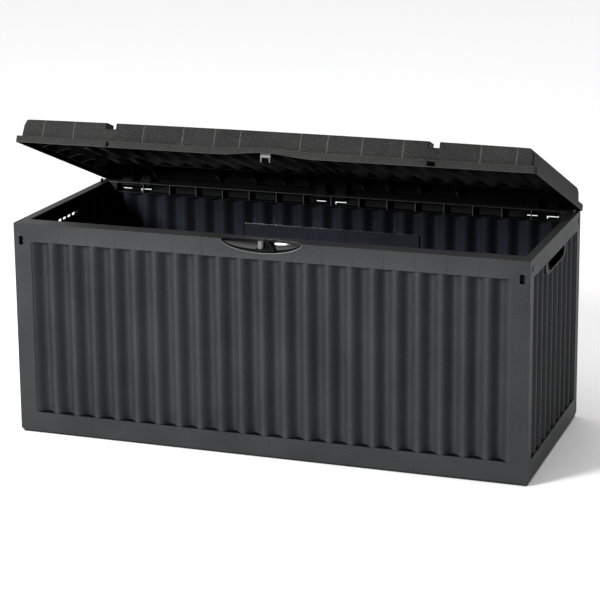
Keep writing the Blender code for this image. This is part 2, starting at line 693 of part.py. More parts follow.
def make_lid(hinge, material):
    """Lid in one piece: casing, sunken corrugated field, gussets, drain notches, finger arch."""
    lid = lid_field(material)
    boolean(lid, lid_shell(), "UNION", solver="MANIFOLD")
    ribs = cutter_from_boxes("lid_gussets", lid_rib_boxes())
    boolean(lid, ribs, "UNION", solver="MANIFOLD")
    front = lid_edges()[2]
    arch = prism_cutter("lid_arch", arch_outline(), front - LID_WALL, front + 2 * LID_WALL)
    boolean(lid, arch, "DIFFERENCE", solver="MANIFOLD")
    top = LID_BOTTOM + LID_HEIGHT + camber(NOTCH_X)
    border_back = front + LID_SHOULDER + LID_BORDER
    notches = []
    for side in (-1, 1):
        notches.append(((side * NOTCH_X - NOTCH_WIDTH / 2, front, top - NOTCH_DEPTH),
                        (side * NOTCH_X + NOTCH_WIDTH / 2, border_back + LID_WALL, top + LID_WALL)))
    notch = cutter_from_boxes("lid_drain_notches", notches)
    boolean(lid, notch, "DIFFERENCE", solver="MANIFOLD")
    hang_on_hinge(lid, hinge)
    return lid


def hang_on_hinge(obj, hinge):
    """Fix the shape of a piece modelled in its closed place, and hang it on the hinge empty."""
    depsgraph = bpy.context.evaluated_depsgraph_get()
    shape = bpy.data.meshes.new_from_object(obj.evaluated_get(depsgraph))
    shape.name = obj.name
    obj.modifiers.clear()
    obj.data = shape
    shape.transform(Matrix.Translation((0.0, -AXIS_Y, -AXIS_Z)))
    obj.parent = hinge


def make_hinge_empty():
    """Empty on the hinge axis, turned so that the lid stands open."""
    hinge = bpy.data.objects.new("lid_hinge_axis", None)
    hinge.location = (0.0, AXIS_Y, AXIS_Z)
    hinge.rotation_euler.x = -LID_OPEN
    parts.objects.link(hinge)
    return hinge


# ---------------------------------------------------------------- hinges

def make_hinge_bracket(name, x, material):
    """The wall's half of a hinge: a foot on the channel floor and one knuckle."""
    half = BODY_KNUCKLE / 2 - FIT_GAP
    foot_half = half - STAGGER
    foot_z = RIM_HEIGHT - CHANNEL_HEIGHT + FIT_GAP
    bracket = box_object(name, (x - foot_half, AXIS_Y - BRACKET_REACH[0], foot_z),
                         (x + foot_half, AXIS_Y + BRACKET_REACH[1], AXIS_Z + STAGGER), parts, material)
    knuckle = cylinder_cutter(name + "_knuckle", (x, AXIS_Y, AXIS_Z), KNUCKLE_RADIUS, 2 * half, "X",
                              KNUCKLE_SIDES)
    bore = cylinder_cutter(name + "_bore", (x, AXIS_Y, AXIS_Z), BORE_RADIUS, BODY_KNUCKLE * 2, "X",
                           BORE_SIDES)
    boolean(bracket, knuckle, "UNION")
    boolean(bracket, bore, "DIFFERENCE")
    shade_round(bracket)
    return bracket


def make_lid_leaf(name, x, hinge, material):
    """The lid's half of a hinge: two knuckles on arms that hang from one plate."""
    inner = BODY_KNUCKLE / 2 + FIT_GAP
    outer = inner + LID_KNUCKLE
    front = AXIS_Y - KNUCKLE_RADIUS + FIT_GAP
    back = AXIS_Y + LEAF_BACK
    plate_low = AXIS_Z + LEAF_PLATE_RISE
    plate_high = LID_BOTTOM + LID_HEIGHT - LID_WALL - FIT_GAP
    leaf = box_object(name, (x - outer, front, plate_low), (x + outer, back, plate_high), parts, material)
    for side in (-1, 1):
        low_x, high_x = sorted((x + side * inner, x + side * outer))
        tag = name + ("_a" if side < 0 else "_b")
        arm = cutter_from_boxes(tag + "_arm", [((low_x + STAGGER, front + STAGGER, AXIS_Z + STAGGER),
                                                (high_x - STAGGER, back - STAGGER, plate_low + FACE))])
        middle = ((low_x + high_x) / 2, AXIS_Y, AXIS_Z)
        knuckle = cylinder_cutter(tag + "_knuckle", middle, KNUCKLE_RADIUS, LID_KNUCKLE, "X",
                                  KNUCKLE_SIDES)
        boolean(leaf, arm, "UNION")
        boolean(leaf, knuckle, "UNION")
    bore = cylinder_cutter(name + "_bore", (x, AXIS_Y, AXIS_Z), BORE_RADIUS, 4 * LID_KNUCKLE, "X",
                           BORE_SIDES)
    boolean(leaf, bore, "DIFFERENCE")
    hang_on_hinge(leaf, hinge)
    shade_round(leaf)
    return leaf


def make_hinge_pin(name, x, material):
    """Turned pin with a head at its left end, through all the knuckles of one hinge."""
    half = BODY_KNUCKLE / 2 + LID_KNUCKLE + 2 * FIT_GAP
    head_radius = PIN_RADIUS + PIN_HEAD[0]
    head_end = -half - PIN_HEAD[1]
    profile = [(0.0, half), (PIN_RADIUS - PIN_CHAMFER, half), (PIN_RADIUS, half - PIN_CHAMFER),
               (PIN_RADIUS, -half), (head_radius, -half), (head_radius, head_end), (0.0, head_end)]
    mesh = bpy.data.meshes.new(name)
    mesh.from_pydata([(radius, 0.0, height) for radius, height in profile],
                     [(index, index + 1) for index in range(len(profile) - 1)], [])
    pin = bpy.data.objects.new(name, mesh)
    parts.objects.link(pin)
    mesh.materials.append(material)
    screw = pin.modifiers.new("turned", "SCREW")
    screw.steps = BORE_SIDES
    screw.render_steps = BORE_SIDES
    screw.use_merge_vertices = True
    screw.merge_threshold = PIN_MERGE
    screw.use_smooth_shade = True
    pin.location = (x, AXIS_Y, AXIS_Z)
    pin.rotation_euler.y = math.pi / 2
    return pin


# ---------------------------------------------------------------- closure

def make_lid_hasp(hinge, material):
    """Tongue on the lid: a plate that ends in two prongs, each curved backwards at its tip."""
    low_x = HASP_X - HASP_WIDTH / 2
    high_x = HASP_X + HASP_WIDTH / 2
    plate_top = LID_BOTTOM + LID_HEIGHT - LID_WALL - FIT_GAP
    back = HASP_Y + HASP_THICKNESS
    foot_reach = HASP_WIDTH - STAGGER
    hasp = box_object("lid_hasp", (low_x, HASP_Y, HASP_SHOULDER), (high_x, back, plate_top), parts, material)
    foot = cutter_from_boxes("hasp_foot", [((low_x + STAGGER, HASP_Y + STAGGER, plate_top - HASP_THICKNESS),
                                            (high_x - STAGGER, HASP_Y + foot_reach, plate_top - STAGGER))])
    boolean(hasp, foot, "UNION")
    for tag, x_low in (("left", low_x), ("right", high_x - PRONG_WIDTH)):
        claw = hasp_claw("hasp_claw_" + tag, x_low + STAGGER, x_low + PRONG_WIDTH - STAGGER)
        boolean(hasp, claw, "UNION")
    hang_on_hinge(hasp, hinge)
    return hasp


def hasp_claw(name, x_low, x_high):
    """One prong: a bar that curves backwards and thins towards its tip."""
    rows = 7
    root_z = HASP_SHOULDER + HASP_THICKNESS / 2
    tip_share = 0.55
    bm = bmesh.new()
    rings = []
    for index in range(rows):
        share = index / (rows - 1)
        z = root_z + (HASP_TIP - root_z) * share
        front = HASP_Y + STAGGER + PRONG_CURL * share ** 2
        depth = (HASP_THICKNESS - 2 * STAGGER) * (1.0 - (1.0 - tip_share) * share)
        corners = ((x_low, front), (x_high, front), (x_high, front + depth), (x_low, front + depth))
        rings.append([bm.verts.new((x, y, z)) for x, y in corners])
    for upper, lower in zip(rings, rings[1:]):
        for index in range(4):
            following = (index + 1) % 4
            bm.faces.new((upper[index], upper[following], lower[following], lower[index]))
    bm.faces.new(rings[0])
    bm.faces.new(rings[-1])
    return as_cutter(object_from_bmesh(name, bm, cutters))


def make_lock_eye(material):
    """Insert in the scoop: a fluted post between the hasp's prongs and a wedge with an eye."""
    front = -BOX_DEPTH / 2
    root = LOCK_BASE - FACE
    wedge_near, wedge_top, wedge_far = WEDGE_X
    below_scoop = RIM_HEIGHT - SCOOP_RADII[2] - FACE
    behind_scoop = front + SCOOP_RADII[1] + FACE
    eye = box_object("lock_eye", (LOCK_FOOT_X[0], front + LOCK_FOOT_FRONT, below_scoop),
                     (LOCK_FOOT_X[1], behind_scoop, LOCK_BASE), parts, material)
    post = fluted_post("lock_post", (HASP_X, front + POST_DEPTH), root, LOCK_TOP)
    wedge = prism_cutter("lock_wedge", [(wedge_near, root), (wedge_near, LOCK_TOP + STAGGER),
                                        (wedge_top, LOCK_TOP + STAGGER), (wedge_far, LOCK_BASE + FACE),
                                        (wedge_far, root)], front + WEDGE_DEPTH[0], front + WEDGE_DEPTH[1])
    boolean(eye, post, "UNION")
    boolean(eye, wedge, "UNION")
    ring = cylinder_cutter("lock_eye_hole", (EYE_X, front + WEDGE_DEPTH[0], EYE_HEIGHT),
                           EYE_RADIUS, 2 * BODY_KNUCKLE, "Y", KNUCKLE_SIDES)
    boolean(eye, ring, "DIFFERENCE")
    limit = ellipsoid_cutter("lock_limit", (SCOOP_CENTRE[0], front + SCOOP_CENTRE[1], SCOOP_CENTRE[2]),
                             [radius - LOCK_CLEARANCE for radius in SCOOP_RADII])
    boolean(eye, limit, "INTERSECT")
    return eye


def fluted_post(name, centre, low_z, high_z):
    """Upright post with shallow flutes round it."""
    steps = POST_FLUTES * 4
    flute_share = 0.05
    bm = bmesh.new()
    ring = []
    for index in range(steps):
        angle = 2.0 * math.pi * index / steps
        reach = POST_RADIUS * (1.0 + flute_share * math.cos(POST_FLUTES * angle))
        ring.append(bm.verts.new((centre[0] + reach * math.cos(angle),
                                  centre[1] + reach * math.sin(angle), low_z)))
    face = bm.faces.new(ring)
    extruded = bmesh.ops.extrude_face_region(bm, geom=[face])["geom"]
    moved = [item for item in extruded if isinstance(item, bmesh.types.BMVert)]
    bmesh.ops.translate(bm, verts=moved, vec=(0.0, 0.0, high_z - low_z))
    return as_cutter(object_from_bmesh(name, bm, cutters))


# ---------------------------------------------------------------- assembly

def main():
    """Build every piece of the box."""
    resin = (0.030, 0.032, 0.035)
    wall_resin = make_material("anthracite_resin", resin, 0.55)
    lid_resin = make_material("anthracite_resin_lid", (0.034, 0.035, 0.036), 0.55)
    floor_resin = make_material("black_resin_floor", (0.020, 0.021, 0.023), 0.50)
    clip_resin = make_material("black_resin_clips", (0.012, 0.012, 0.013), 0.40)
    tongue_resin = make_material("grey_resin_tongue", (0.16, 0.16, 0.16), 0.45)

    make_floor_panel(floor_resin)
    make_front_panel(wall_resin)
    make_rear_panel(wall_resin)
    make_side_panel("left_panel", -1, wall_resin)
    make_side_panel("right_panel", 1, wall_resin)
    for name, side_x, side_y in (("corner_key_front_left", -1, -1), ("corner_key_front_right", 1, -1),
                                 ("corner_key_rear_left", -1, 1), ("corner_key_rear_right", 1, 1)):
        make_corner_key(name, side_x, side_y, clip_resin)

    hinge = make_hinge_empty()
    make_lid(hinge, lid_resin)
    make_lid_hasp(hinge, tongue_resin)
    make_lock_eye(clip_resin)
    for place, x in HINGE_PLACES.items():
        make_hinge_bracket("hinge_bracket_" + place, x, clip_resin)
        make_lid_leaf("lid_leaf_" + place, x, hinge, clip_resin)
        make_hinge_pin("hinge_pin_" + place, x, clip_resin)


clear_scene()
parts = make_collection(COLLECTION_NAME)
cutters = make_collection(CUTTER_COLLECTION)
main()
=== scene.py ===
import json
import math

import bmesh
import bpy
from mathutils import Matrix, Vector


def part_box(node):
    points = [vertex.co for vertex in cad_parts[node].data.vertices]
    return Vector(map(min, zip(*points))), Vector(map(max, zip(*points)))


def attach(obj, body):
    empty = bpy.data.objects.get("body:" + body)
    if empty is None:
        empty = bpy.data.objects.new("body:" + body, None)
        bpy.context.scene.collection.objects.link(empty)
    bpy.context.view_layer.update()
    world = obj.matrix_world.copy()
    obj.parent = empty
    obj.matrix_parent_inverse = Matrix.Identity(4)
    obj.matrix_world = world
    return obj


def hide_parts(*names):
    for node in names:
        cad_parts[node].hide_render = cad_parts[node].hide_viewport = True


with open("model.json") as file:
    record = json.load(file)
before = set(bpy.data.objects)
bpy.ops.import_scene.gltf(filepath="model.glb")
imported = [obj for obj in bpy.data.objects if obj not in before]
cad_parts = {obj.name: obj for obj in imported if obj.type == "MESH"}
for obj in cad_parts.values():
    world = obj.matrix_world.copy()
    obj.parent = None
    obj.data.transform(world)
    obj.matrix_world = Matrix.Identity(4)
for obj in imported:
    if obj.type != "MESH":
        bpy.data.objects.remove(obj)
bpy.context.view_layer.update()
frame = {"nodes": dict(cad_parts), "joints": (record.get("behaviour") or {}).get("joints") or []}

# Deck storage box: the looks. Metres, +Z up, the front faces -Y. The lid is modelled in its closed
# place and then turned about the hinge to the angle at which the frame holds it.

# ---------------------------------------------------------------- places read from the frame

front_low, front_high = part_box("front_panel")
HALF_LENGTH = front_high[0]
HALF_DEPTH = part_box("rear_panel")[1][1]
WALL_FOOT = front_low[2]
RIM = front_high[2]
FRONT_LEDGE = front_high[1] - front_low[1]

hinge = frame["joints"][0]
AXIS = Vector(hinge["pos_m"])
LID_OPEN = math.radians(-hinge["range_deg"][0])
LID_TURN = (Matrix.Translation(AXIS) @ Matrix.Rotation(LID_OPEN, 4, Vector(hinge["axis"]))
            @ Matrix.Translation(-AXIS))

# ---------------------------------------------------------------- driving dimensions (metres)

REAR_LEDGE = 0.022            # how far the rim reaches in over the rear wall and the two ends
SIDE_LEDGE = 0.020
FACE = 0.003                  # thickness of the flat frame of a wall
SHEET = 0.0024                # thickness of the corrugated sheets
RIB = 0.0022
TOP_RAIL = 0.0415
BOTTOM_RAIL = 0.045
CHANNEL_HEIGHT = 0.025
CREST_INSET = 0.0015
FLANGE_PROUD = 0.0006
LONG_STILE = 0.0416
SHORT_STILE = 0.032
LONG_WAVES = 22
SHORT_WAVES = 9
LONG_WAVE_DEPTH = 0.0185
SHORT_WAVE_DEPTH = 0.0150
RIB_PITCH = 0.069
FIT_GAP = 0.0004

WAVE_STEPS = 20               # facets to each wave
SHEET_ROWS = 24
UNEVEN = 0.00014              # how far a moulded sheet strays from its true shape
EDGE_ROUND = 0.0012
BOX_ROUND_LIMIT = 0.35        # a box's rounding is at most this share of its thinnest side
TOP_ROUNDS = (0.0006, 0.0006)  # radii of a wall's two upper corners
CHANNEL_ROUND = 0.0007
RIM_ROUND = 0.0009
FINE_ROUND = 0.0003           # rounding of small cutters
STEP_BACK = 0.0002            # keeps the faces of neighbouring pieces out of one plane
WINDOW_ROUND = 0.003          # radius of the corners of the frame's opening
FRONT_FOOT_ROUND = 0.006      # radius of a wall's lower corners
REAR_FOOT_ROUND = 0.013
SINK_HALF = 0.0020            # half the width of the sink lines over the ribs
SINK_DEPTH = 0.00030          # their depth in the walls' frames
LID_SINK_DEPTH = 0.00050      # and in the lid's front
SINK_SHARES = (-1.0, -0.5, 0.0, 0.5, 1.0)

SLOT_SIZE = (0.011, 0.021)
SLOT_FROM_END = 0.0175
SLOT_HEIGHT = 0.457
SIDE_SLOT_SIZE = (0.011, 0.015)
SIDE_SLOT_HEIGHT = 0.476
SLOT_ROUND = 0.0035

HANDLE_HALF = 0.080
HANDLE_TOP = RIM - TOP_RAIL - 0.001
HANDLE_BOTTOM = 0.432
HANDLE_ROUND = 0.92           # share of the hold's height that its lower corners' radius takes
HANDLE_BOSS_HALF = 0.100
HANDLE_BOSS_BOTTOM = 0.4265
POCKET_ROUND = 0.0006
GUARD = 0.002                 # thickness of the guard behind the hand pocket
GAP_SIZE = (0.017, 0.0065)
GAPS = 5
LIP_RADIUS = 0.0016           # raised lip round the hand pocket
EAR_FROM_END = 0.014
EAR_HALF = 0.006
EAR_DEPTH = (0.006, 0.009)
EAR_RISE = 0.0085
REAR_PLATE_HALF = 0.220
REAR_PLATE_HEIGHT = (0.296, 0.416)
REAR_PLATE_THICKNESS = 0.0045
HINGE_PLACES = (-0.512, -0.005, 0.512)
HINGE_NOTCH_HALF = 0.0378
PIN_HEAD_POCKET = (0.0370, 0.0402, 0.0058)   # from and to in x, and half its height
HINGE_NOTCH_DEPTH = 0.0145
HINGE_NOTCH_FLOOR = RIM - 0.0205
BRACKET_NOTCH_HALF = 0.0125

SCOOP_RADII = Vector((0.0945, 0.0265, 0.0280))
SCOOP_CENTRE = Vector((0.0, 0.0002, RIM + 0.0006))
SCOOP_WALL = 0.0025
SCOOP_LIP = 0.0007            # radius of the bead round the scoop

LID_SIDE = 0.002              # overhangs of the lid
LID_FRONT = 0.010
LID_REAR = 0.015
LID_WALL = 0.003
LID_FOOT_ROUND = 0.0006
LID_BAND_ROUND = 0.0012
LID_SHOULDER_ROUND = 0.0003
LID_WELL_ROUND = 0.0022
LID_INNER_STEP = 0.001
LID_END_SHARES = (0.42, 0.56, 0.72, 0.9, 1.1)   # rows across the rounded ends, in shares of their radius
LID_END_LIMIT = 0.98
LID_ARC_STEPS = 8
LID_BOTTOM = RIM + 0.002
LID_BAND = 0.015
LID_HEIGHT = 0.055
LID_SHOULDER = 0.009
LID_DRAFT = 0.004
LID_CAMBER = 0.004
LID_BORDER = 0.042
LID_CORNER = 0.007            # radius of the lid's corners in plan, outside and at the well
LID_END_ROUND = 0.011         # radius along the lid's two ends, from the side wall to the top
LID_INNER_CORNER = 0.006
LID_EDGE = 0.0030             # radius of the lid's upper edge
INNER_ROWS = 11               # the profile's last rows lie inside the casing
BAND_HIGHLIGHT_ROWS = (0, 3, 4)        # the profile's rows at the band's lower and upper edges, coloured lighter as a painted highlight
FIELD_DROP = 0.019
FIELD_WAVE = 0.009
ARCH_HALF = 0.112
ARCH_RISE = 0.0085
ARCH_FADE = 1.15              # how soon the arch over the scoop dies out with height
NOTCH_X = 0.3745
NOTCH_WIDTH = 0.024
NOTCH_DEPTH = 0.014
RECESS_WIDTHS = {-1: 0.006, 1: 0.019}
RECESS_HEIGHT = 0.0115
GUSSET_RISE = 0.007
GUSSET_ARCH = 0.013
GUSSET_STEPS = 10
GUSSET_POWER = 0.8
GUSSET_X = (-0.540, -0.465, -0.295, -0.200, -0.125, -0.065, 0.075, 0.137, 0.215, 0.307, 0.477, 0.555)
STRAIGHT_END = 0.56           # end of the straight part of the lid's long sides
SHORT_STRAIGHT_END = 0.20
LONG_PITCH = 0.012            # spacing of the casing's points along the long and the short sides
SHORT_PITCH = 0.02
FIELD_ROWS = 20
CHANNEL_START = 0.0015        # how far behind the shoulder the drain channels begin
DRAIN_ROUND = 0.0004

HASP_X = -0.005
LOCK_BASE = RIM - 0.0195
LOCK_TOP = RIM - 0.003
LOCK_FOOT_X = (-0.016, 0.030)
LOCK_FOOT_FRONT = 0.004
LOCK_FOOT_ROUND = 0.0006
POST_RADIUS = 0.0058
POST_DEPTH = 0.0125
POST_FLUTES = 10
FLUTE_STEPS = 8
FLUTE_DEPTH = 0.06
POST_ROWS = ((1.0, LOCK_BASE - 0.0002), (1.0, LOCK_TOP - 0.0012), (0.95, LOCK_TOP - 0.0004),
             (0.84, LOCK_TOP), (0.45, LOCK_TOP), (0.40, LOCK_TOP - 0.0010))   # share of the radius, height
WEDGE_X = (0.0085, 0.0125, 0.0275)
WEDGE_DEPTH = (0.006, 0.018)
WEDGE_ROUNDS = (0.0015, 0.004)
EYE_X = 0.0150
EYE_HEIGHT = RIM - 0.0115
EYE_RADIUS = 0.0032
LOCK_CLEARANCE = 0.0009
LOCK_ROUND = 0.0004
NODE_ROUNDS = {"floor": 0.0006, "part": 0.0004, "pin": 0.0002}   # edge rounding of the carried-over nodes

CAMERA_PLACE = (1.5454, -4.3570, 1.5739)
CAMERA_TURN = tuple(math.radians(angle) for angle in (77.063, 0.528, 19.379))
CAMERA_LENS = 124.47
CAMERA_SHIFT = -0.15

STAGE_HALF = 40.0
STAGE_DROP = 0.0005
KEY_PLACE = (-2.9, -4.3, 2.6)
KEY_TARGET = (0, 0, 0.35)
KEY_SIZE = (1.4, 1.4)
KEY_POWER = 430.0
# The sky's strength is the sum of one ramp along each axis of the direction looked in. Each entry says
# where the ramp starts (all end at 1), its value there and its value at the end.
WORLD_LIGHT = {"X": (-1.0, 0.60, -0.50), "Y": (-1.0, -0.10, 0.10), "Z": (0.45, 0.0, 1.9)}
WORLD_LEAST = 0.02            # the sky is nowhere darker than this


# ---------------------------------------------------------------- procedural materials

def add_node(tree, kind, place, **values):
    """Add a shader node and set its properties and inputs by name."""
    node = tree.nodes.new(kind)
    node.location = place
    for key, value in values.items():
        if hasattr(node, key):
            setattr(node, key, value)
        else:
            node.inputs[key.replace("_", " ").title()].default_value = value
    return node


def ramp(tree, source, low, high, to_low, to_high, place):
    """Map a value from one range to another."""
    node = add_node(tree, "ShaderNodeMapRange", place)
    for index, value in enumerate((low, high, to_low, to_high)):
        node.inputs[index + 1].default_value = value
    tree.links.new(source, node.inputs[0])
    return node.outputs[0]


def moulded(name, colour, roughness, grain=1400.0, grain_depth=0.00004, edge_highlight=0.35, streaks=0.0,
            spread=0.18, coat=0.0, shine=0.25, mottle=0.0, fleck=0.5, edge=0.010):
    """Moulded resin: fine grain, cloudy colour and gloss, edges lightened as a painted highlight, flow
    streaks.
    """
    material = bpy.data.materials.new(name)
    material.use_nodes = True
    tree = material.node_tree
    shader = tree.nodes["Principled BSDF"]
    shader.inputs["Metallic"].default_value = 0.0
    shader.inputs["Specular IOR Level"].default_value = shine
    shader.inputs["Coat Weight"].default_value = coat
    shader.inputs["Coat Roughness"].default_value = 0.12
    where = add_node(tree, "ShaderNodeTexCoord", (-1400, 0)).outputs["Object"]

    clouds = add_node(tree, "ShaderNodeTexNoise", (-1100, 300), Scale=7.0, Detail=6.0, Roughness=0.6)
    specks = add_node(tree, "ShaderNodeTexNoise", (-1100, 50), Scale=320.0, Detail=3.0, Roughness=0.65)
    fine = add_node(tree, "ShaderNodeTexNoise", (-1100, -450), Scale=grain, Detail=2.0, Roughness=0.55)
    for node in (clouds, specks, fine):
        tree.links.new(where, node.inputs["Vector"])
    stretch = add_node(tree, "ShaderNodeMapping", (-1250, -200))
    stretch.inputs["Scale"].default_value = (60.0, 60.0, 2.5)
    tree.links.new(where, stretch.inputs["Vector"])
    flow = add_node(tree, "ShaderNodeTexNoise", (-1100, -200), Scale=1.0, Detail=4.0, Roughness=0.6)
    tree.links.new(stretch.outputs[0], flow.inputs["Vector"])

    tone = add_node(tree, "ShaderNodeMix", (-700, 300), data_type="RGBA")
    tone.inputs[6].default_value = (*[value * (1.0 - spread) for value in colour], 1.0)
    tone.inputs[7].default_value = (*[value * (1.0 + spread) for value in colour], 1.0)
    tree.links.new(ramp(tree, clouds.outputs["Fac"], 0.35, 0.65, 0.0, 1.0, (-900, 300)), tone.inputs[0])
    flecked = add_node(tree, "ShaderNodeMix", (-500, 250), data_type="RGBA")
    flecked.inputs[7].default_value = (*[value * 2.4 + 0.001 for value in colour], 1.0)
    tree.links.new(tone.outputs[2], flecked.inputs[6])
    tree.links.new(ramp(tree, specks.outputs["Fac"], 0.50, 0.72, 0.0, fleck, (-900, 50)), flecked.inputs[0])
    # Painted highlight: the base colour is lightened on pointy edges to stand in for light caught on rounded
    # edges.
    edges = add_node(tree, "ShaderNodeNewGeometry", (-900, 600)).outputs["Pointiness"]
    edge_highlit = add_node(tree, "ShaderNodeMix", (-250, 300), data_type="RGBA")
    edge_highlit.inputs[7].default_value = (*[value * 2.0 + edge for value in colour], 1.0)
    tree.links.new(flecked.outputs[2], edge_highlit.inputs[6])
    tree.links.new(ramp(tree, edges, 0.52, 0.62, 0.0, edge_highlight, (-700, 600)), edge_highlit.inputs[0])
    tree.links.new(edge_highlit.outputs[2], shader.inputs["Base Color"])

    gloss = add_node(tree, "ShaderNodeMath", (-500, -100), operation="ADD")
    tree.links.new(ramp(tree, clouds.outputs["Fac"], 0.3, 0.7, roughness - 0.05, roughness + 0.05,
                        (-700, 0)), gloss.inputs[0])
    uneven = ramp(tree, flow.outputs["Fac"], 0.3, 0.7, -streaks, streaks, (-700, -200))
    tree.links.new(uneven, gloss.inputs[1])
    tree.links.new(gloss.outputs[0], shader.inputs["Roughness"])

    normal = None
    for source, depth, place in ((fine, grain_depth, (-300, -450)), (specks, mottle, (-200, -400)),
                                 (flow, 0.0006 * streaks + 0.00002, (-100, -350))):
        bump = add_node(tree, "ShaderNodeBump", place)
        bump.inputs["Strength"].default_value = 1.0
        bump.inputs["Distance"].default_value = depth
        tree.links.new(source.outputs["Fac"], bump.inputs["Height"])
        if normal is not None:
            tree.links.new(normal, bump.inputs["Normal"])
        normal = bump.outputs[0]
    tree.links.new(normal, shader.inputs["Normal"])
    return material


# ---------------------------------------------------------------- mesh helpers

def keep_flats(obj):
    """Keep flat faces flat in the shading, beside rounded edges."""
    weighted = obj.modifiers.new("flat_faces_stay_flat", "WEIGHTED_NORMAL")
    weighted.keep_sharp = True


def add_bevel(obj, width, segments, angle):
    """Round the edges that are sharper than an angle in degrees."""
    bevel = obj.modifiers.new("rounded", "BEVEL")
    bevel.width = width
    bevel.segments = segments
    bevel.limit_method = "ANGLE"
    bevel.angle_limit = math.radians(angle)


def new_object(name, data):
    """An object in the scene with the data given."""
    obj = bpy.data.objects.new(name, data)
    bpy.context.scene.collection.objects.link(obj)
    return obj


def evaluated_mesh(obj):
    """The mesh that an object's modifiers or curve settings make."""
    return bpy.data.meshes.new_from_object(obj.evaluated_get(bpy.context.evaluated_depsgraph_get()))


def settle(obj, body, materials, node=None, turn=None, angle=35.0, flats=True):
    """Shade a finished piece, give it its materials, and let it ride on its body."""
    if turn is not None:
        obj.data.transform(turn)
    indices = [face.material_index for face in obj.data.polygons]
    obj.data.materials.clear()
    for material in materials:
        obj.data.materials.append(material)
    obj.data.polygons.foreach_set("material_index", indices)
    obj.data.shade_smooth()
    obj.data.set_sharp_from_angle(angle=math.radians(angle))
    if flats:
        keep_flats(obj)
    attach(obj, body)
    if node:
        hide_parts(node)
    return obj


def from_bmesh(name, bm):
    """An object from a bmesh, with its faces out."""
    bmesh.ops.recalc_face_normals(bm, faces=bm.faces)
    mesh = bpy.data.meshes.new(name)
    bm.to_mesh(mesh)
    bm.free()
    return new_object(name, mesh)


def bake_modifiers(obj):
    """Replace an object's mesh by what its modifiers make of it."""
    shape = evaluated_mesh(obj)
    obj.modifiers.clear()
    obj.data = shape
    return obj


def combine(target, cutter, operation="DIFFERENCE", overlapping=False):
    """Apply one Boolean and remove its cutter; the target may be made of overlapping solids."""
    modifier = target.modifiers.new("combine", "BOOLEAN")
    modifier.operation = operation
    modifier.object = cutter
    modifier.solver = "EXACT"
    modifier.use_self = overlapping
    bake_modifiers(target)
    bpy.data.objects.remove(cutter)
    return target


def round_edges(obj, width=EDGE_ROUND, segments=3, angle=40.0):
    """Round the sharp edges of an object, and keep the result."""
    add_bevel(obj, width, segments, angle)
    return bake_modifiers(obj)


def add_box(bm, low, high, width=EDGE_ROUND, segments=2):
    """Add a box with rounded edges to a bmesh."""
    low, high = Vector(low), Vector(high)
    size = high - low
    place = Matrix.Translation((low + high) / 2) @ Matrix.Diagonal((*size, 1.0))
    verts = bmesh.ops.create_cube(bm, size=1.0, matrix=place)["verts"]
    edges = list({edge for vert in verts for edge in vert.link_edges})
    bmesh.ops.bevel(bm, geom=edges, offset=min(width, min(size) * BOX_ROUND_LIMIT), segments=segments,
                    profile=0.5, affect="EDGES")


def boxes(name, pairs, width=EDGE_ROUND):
    """Rounded boxes in one object."""
    bm = bmesh.new()
    for low, high in pairs:
        add_box(bm, low, high, width)
    return from_bmesh(name, bm)


def arc(centre, radius, start, end, steps):
    """Points along an arc in a plane; the angles are in degrees."""
    points = []
    for index in range(steps + 1):
        angle = math.radians(start + (end - start) * index / steps)
        points.append((centre[0] + radius * math.cos(angle), centre[1] + radius * math.sin(angle)))
    return points


def rounded_rectangle(low, high, radii, steps=5):
    """Outline with one radius for each corner: lower left, lower right, upper right, upper left."""
    corners = ((low[0], low[1], 180), (high[0], low[1], 270), (high[0], high[1], 0), (low[0], high[1], 90))
    points = []
    for (x, y, start), radius in zip(corners, radii):
        inward_x = radius if x == low[0] else -radius
        inward_y = radius if y == low[1] else -radius
        points += arc((x + inward_x, y + inward_y), radius, start, start + 90, steps)
    return points


def extrude(bm, places, step):
    """Add a face through the places given, and pull it out by a step into a solid."""
    face = bm.faces.new([bm.verts.new(place) for place in places])
    extruded = bmesh.ops.extrude_face_region(bm, geom=[face])["geom"]
    moved = [item for item in extruded if isinstance(item, bmesh.types.BMVert)]
    bmesh.ops.translate(bm, verts=moved, vec=step)


def prism(name, outline, low, high):
    """XZ outline extruded along Y."""
    bm = bmesh.new()
    extrude(bm, [(x, low, z) for x, z in outline], (0.0, high - low, 0.0))
    return from_bmesh(name, bm)


def slab(name, columns, rows, near, far):
    """A closed sheet between two surfaces, each a function of shares u and v from 0 to 1."""
    bm = bmesh.new()
    sides = []
    for surface in (near, far):
        sides.append([[bm.verts.new(surface(column / columns, row / rows)) for row in range(rows + 1)]
                      for column in range(columns + 1)])
    for index, side in enumerate(sides):
        for column in range(columns):
            for row in range(rows):
                face = bm.faces.new((side[column][row], side[column + 1][row],
                                     side[column + 1][row + 1], side[column][row + 1]))
                face.material_index = index
    rim = [(column, 0) for column in range(columns)] + [(columns, row) for row in range(rows)]
    rim += [(column, rows) for column in range(columns, 0, -1)] + [(0, row) for row in range(rows, 0, -1)]
    for here, there in zip(rim, rim[1:] + rim[:1]):
        bm.faces.new((sides[0][here[0]][here[1]], sides[0][there[0]][there[1]],
                      sides[1][there[0]][there[1]], sides[1][here[0]][here[1]]))
    return from_bmesh(name, bm)


def tube(name, path, radius, depth):
    """Round bead along XZ points, its middle at one depth behind the wall's face."""
    curve = bpy.data.curves.new(name + "_path", "CURVE")
    curve.dimensions = "3D"
    curve.bevel_depth = radius
    curve.bevel_resolution = 3
    curve.use_fill_caps = True
    spline = curve.splines.new("POLY")
    spline.points.add(len(path) - 1)
    for point, (x, z) in zip(spline.points, path):
        point.co = (x, depth, z, 1.0)
    guide = new_object("bead_guide", curve)
    bpy.context.view_layer.update()
    shape = evaluated_mesh(guide)
    bpy.data.objects.remove(guide)
    return new_object(name, shape)


def evenly(low, high, pitch):
    """Middles of ribs from low to high, near the wanted pitch, none at the two ends."""
    count = max(1, round((high - low) / pitch))
    return [low + (high - low) * index / count for index in range(1, count)]


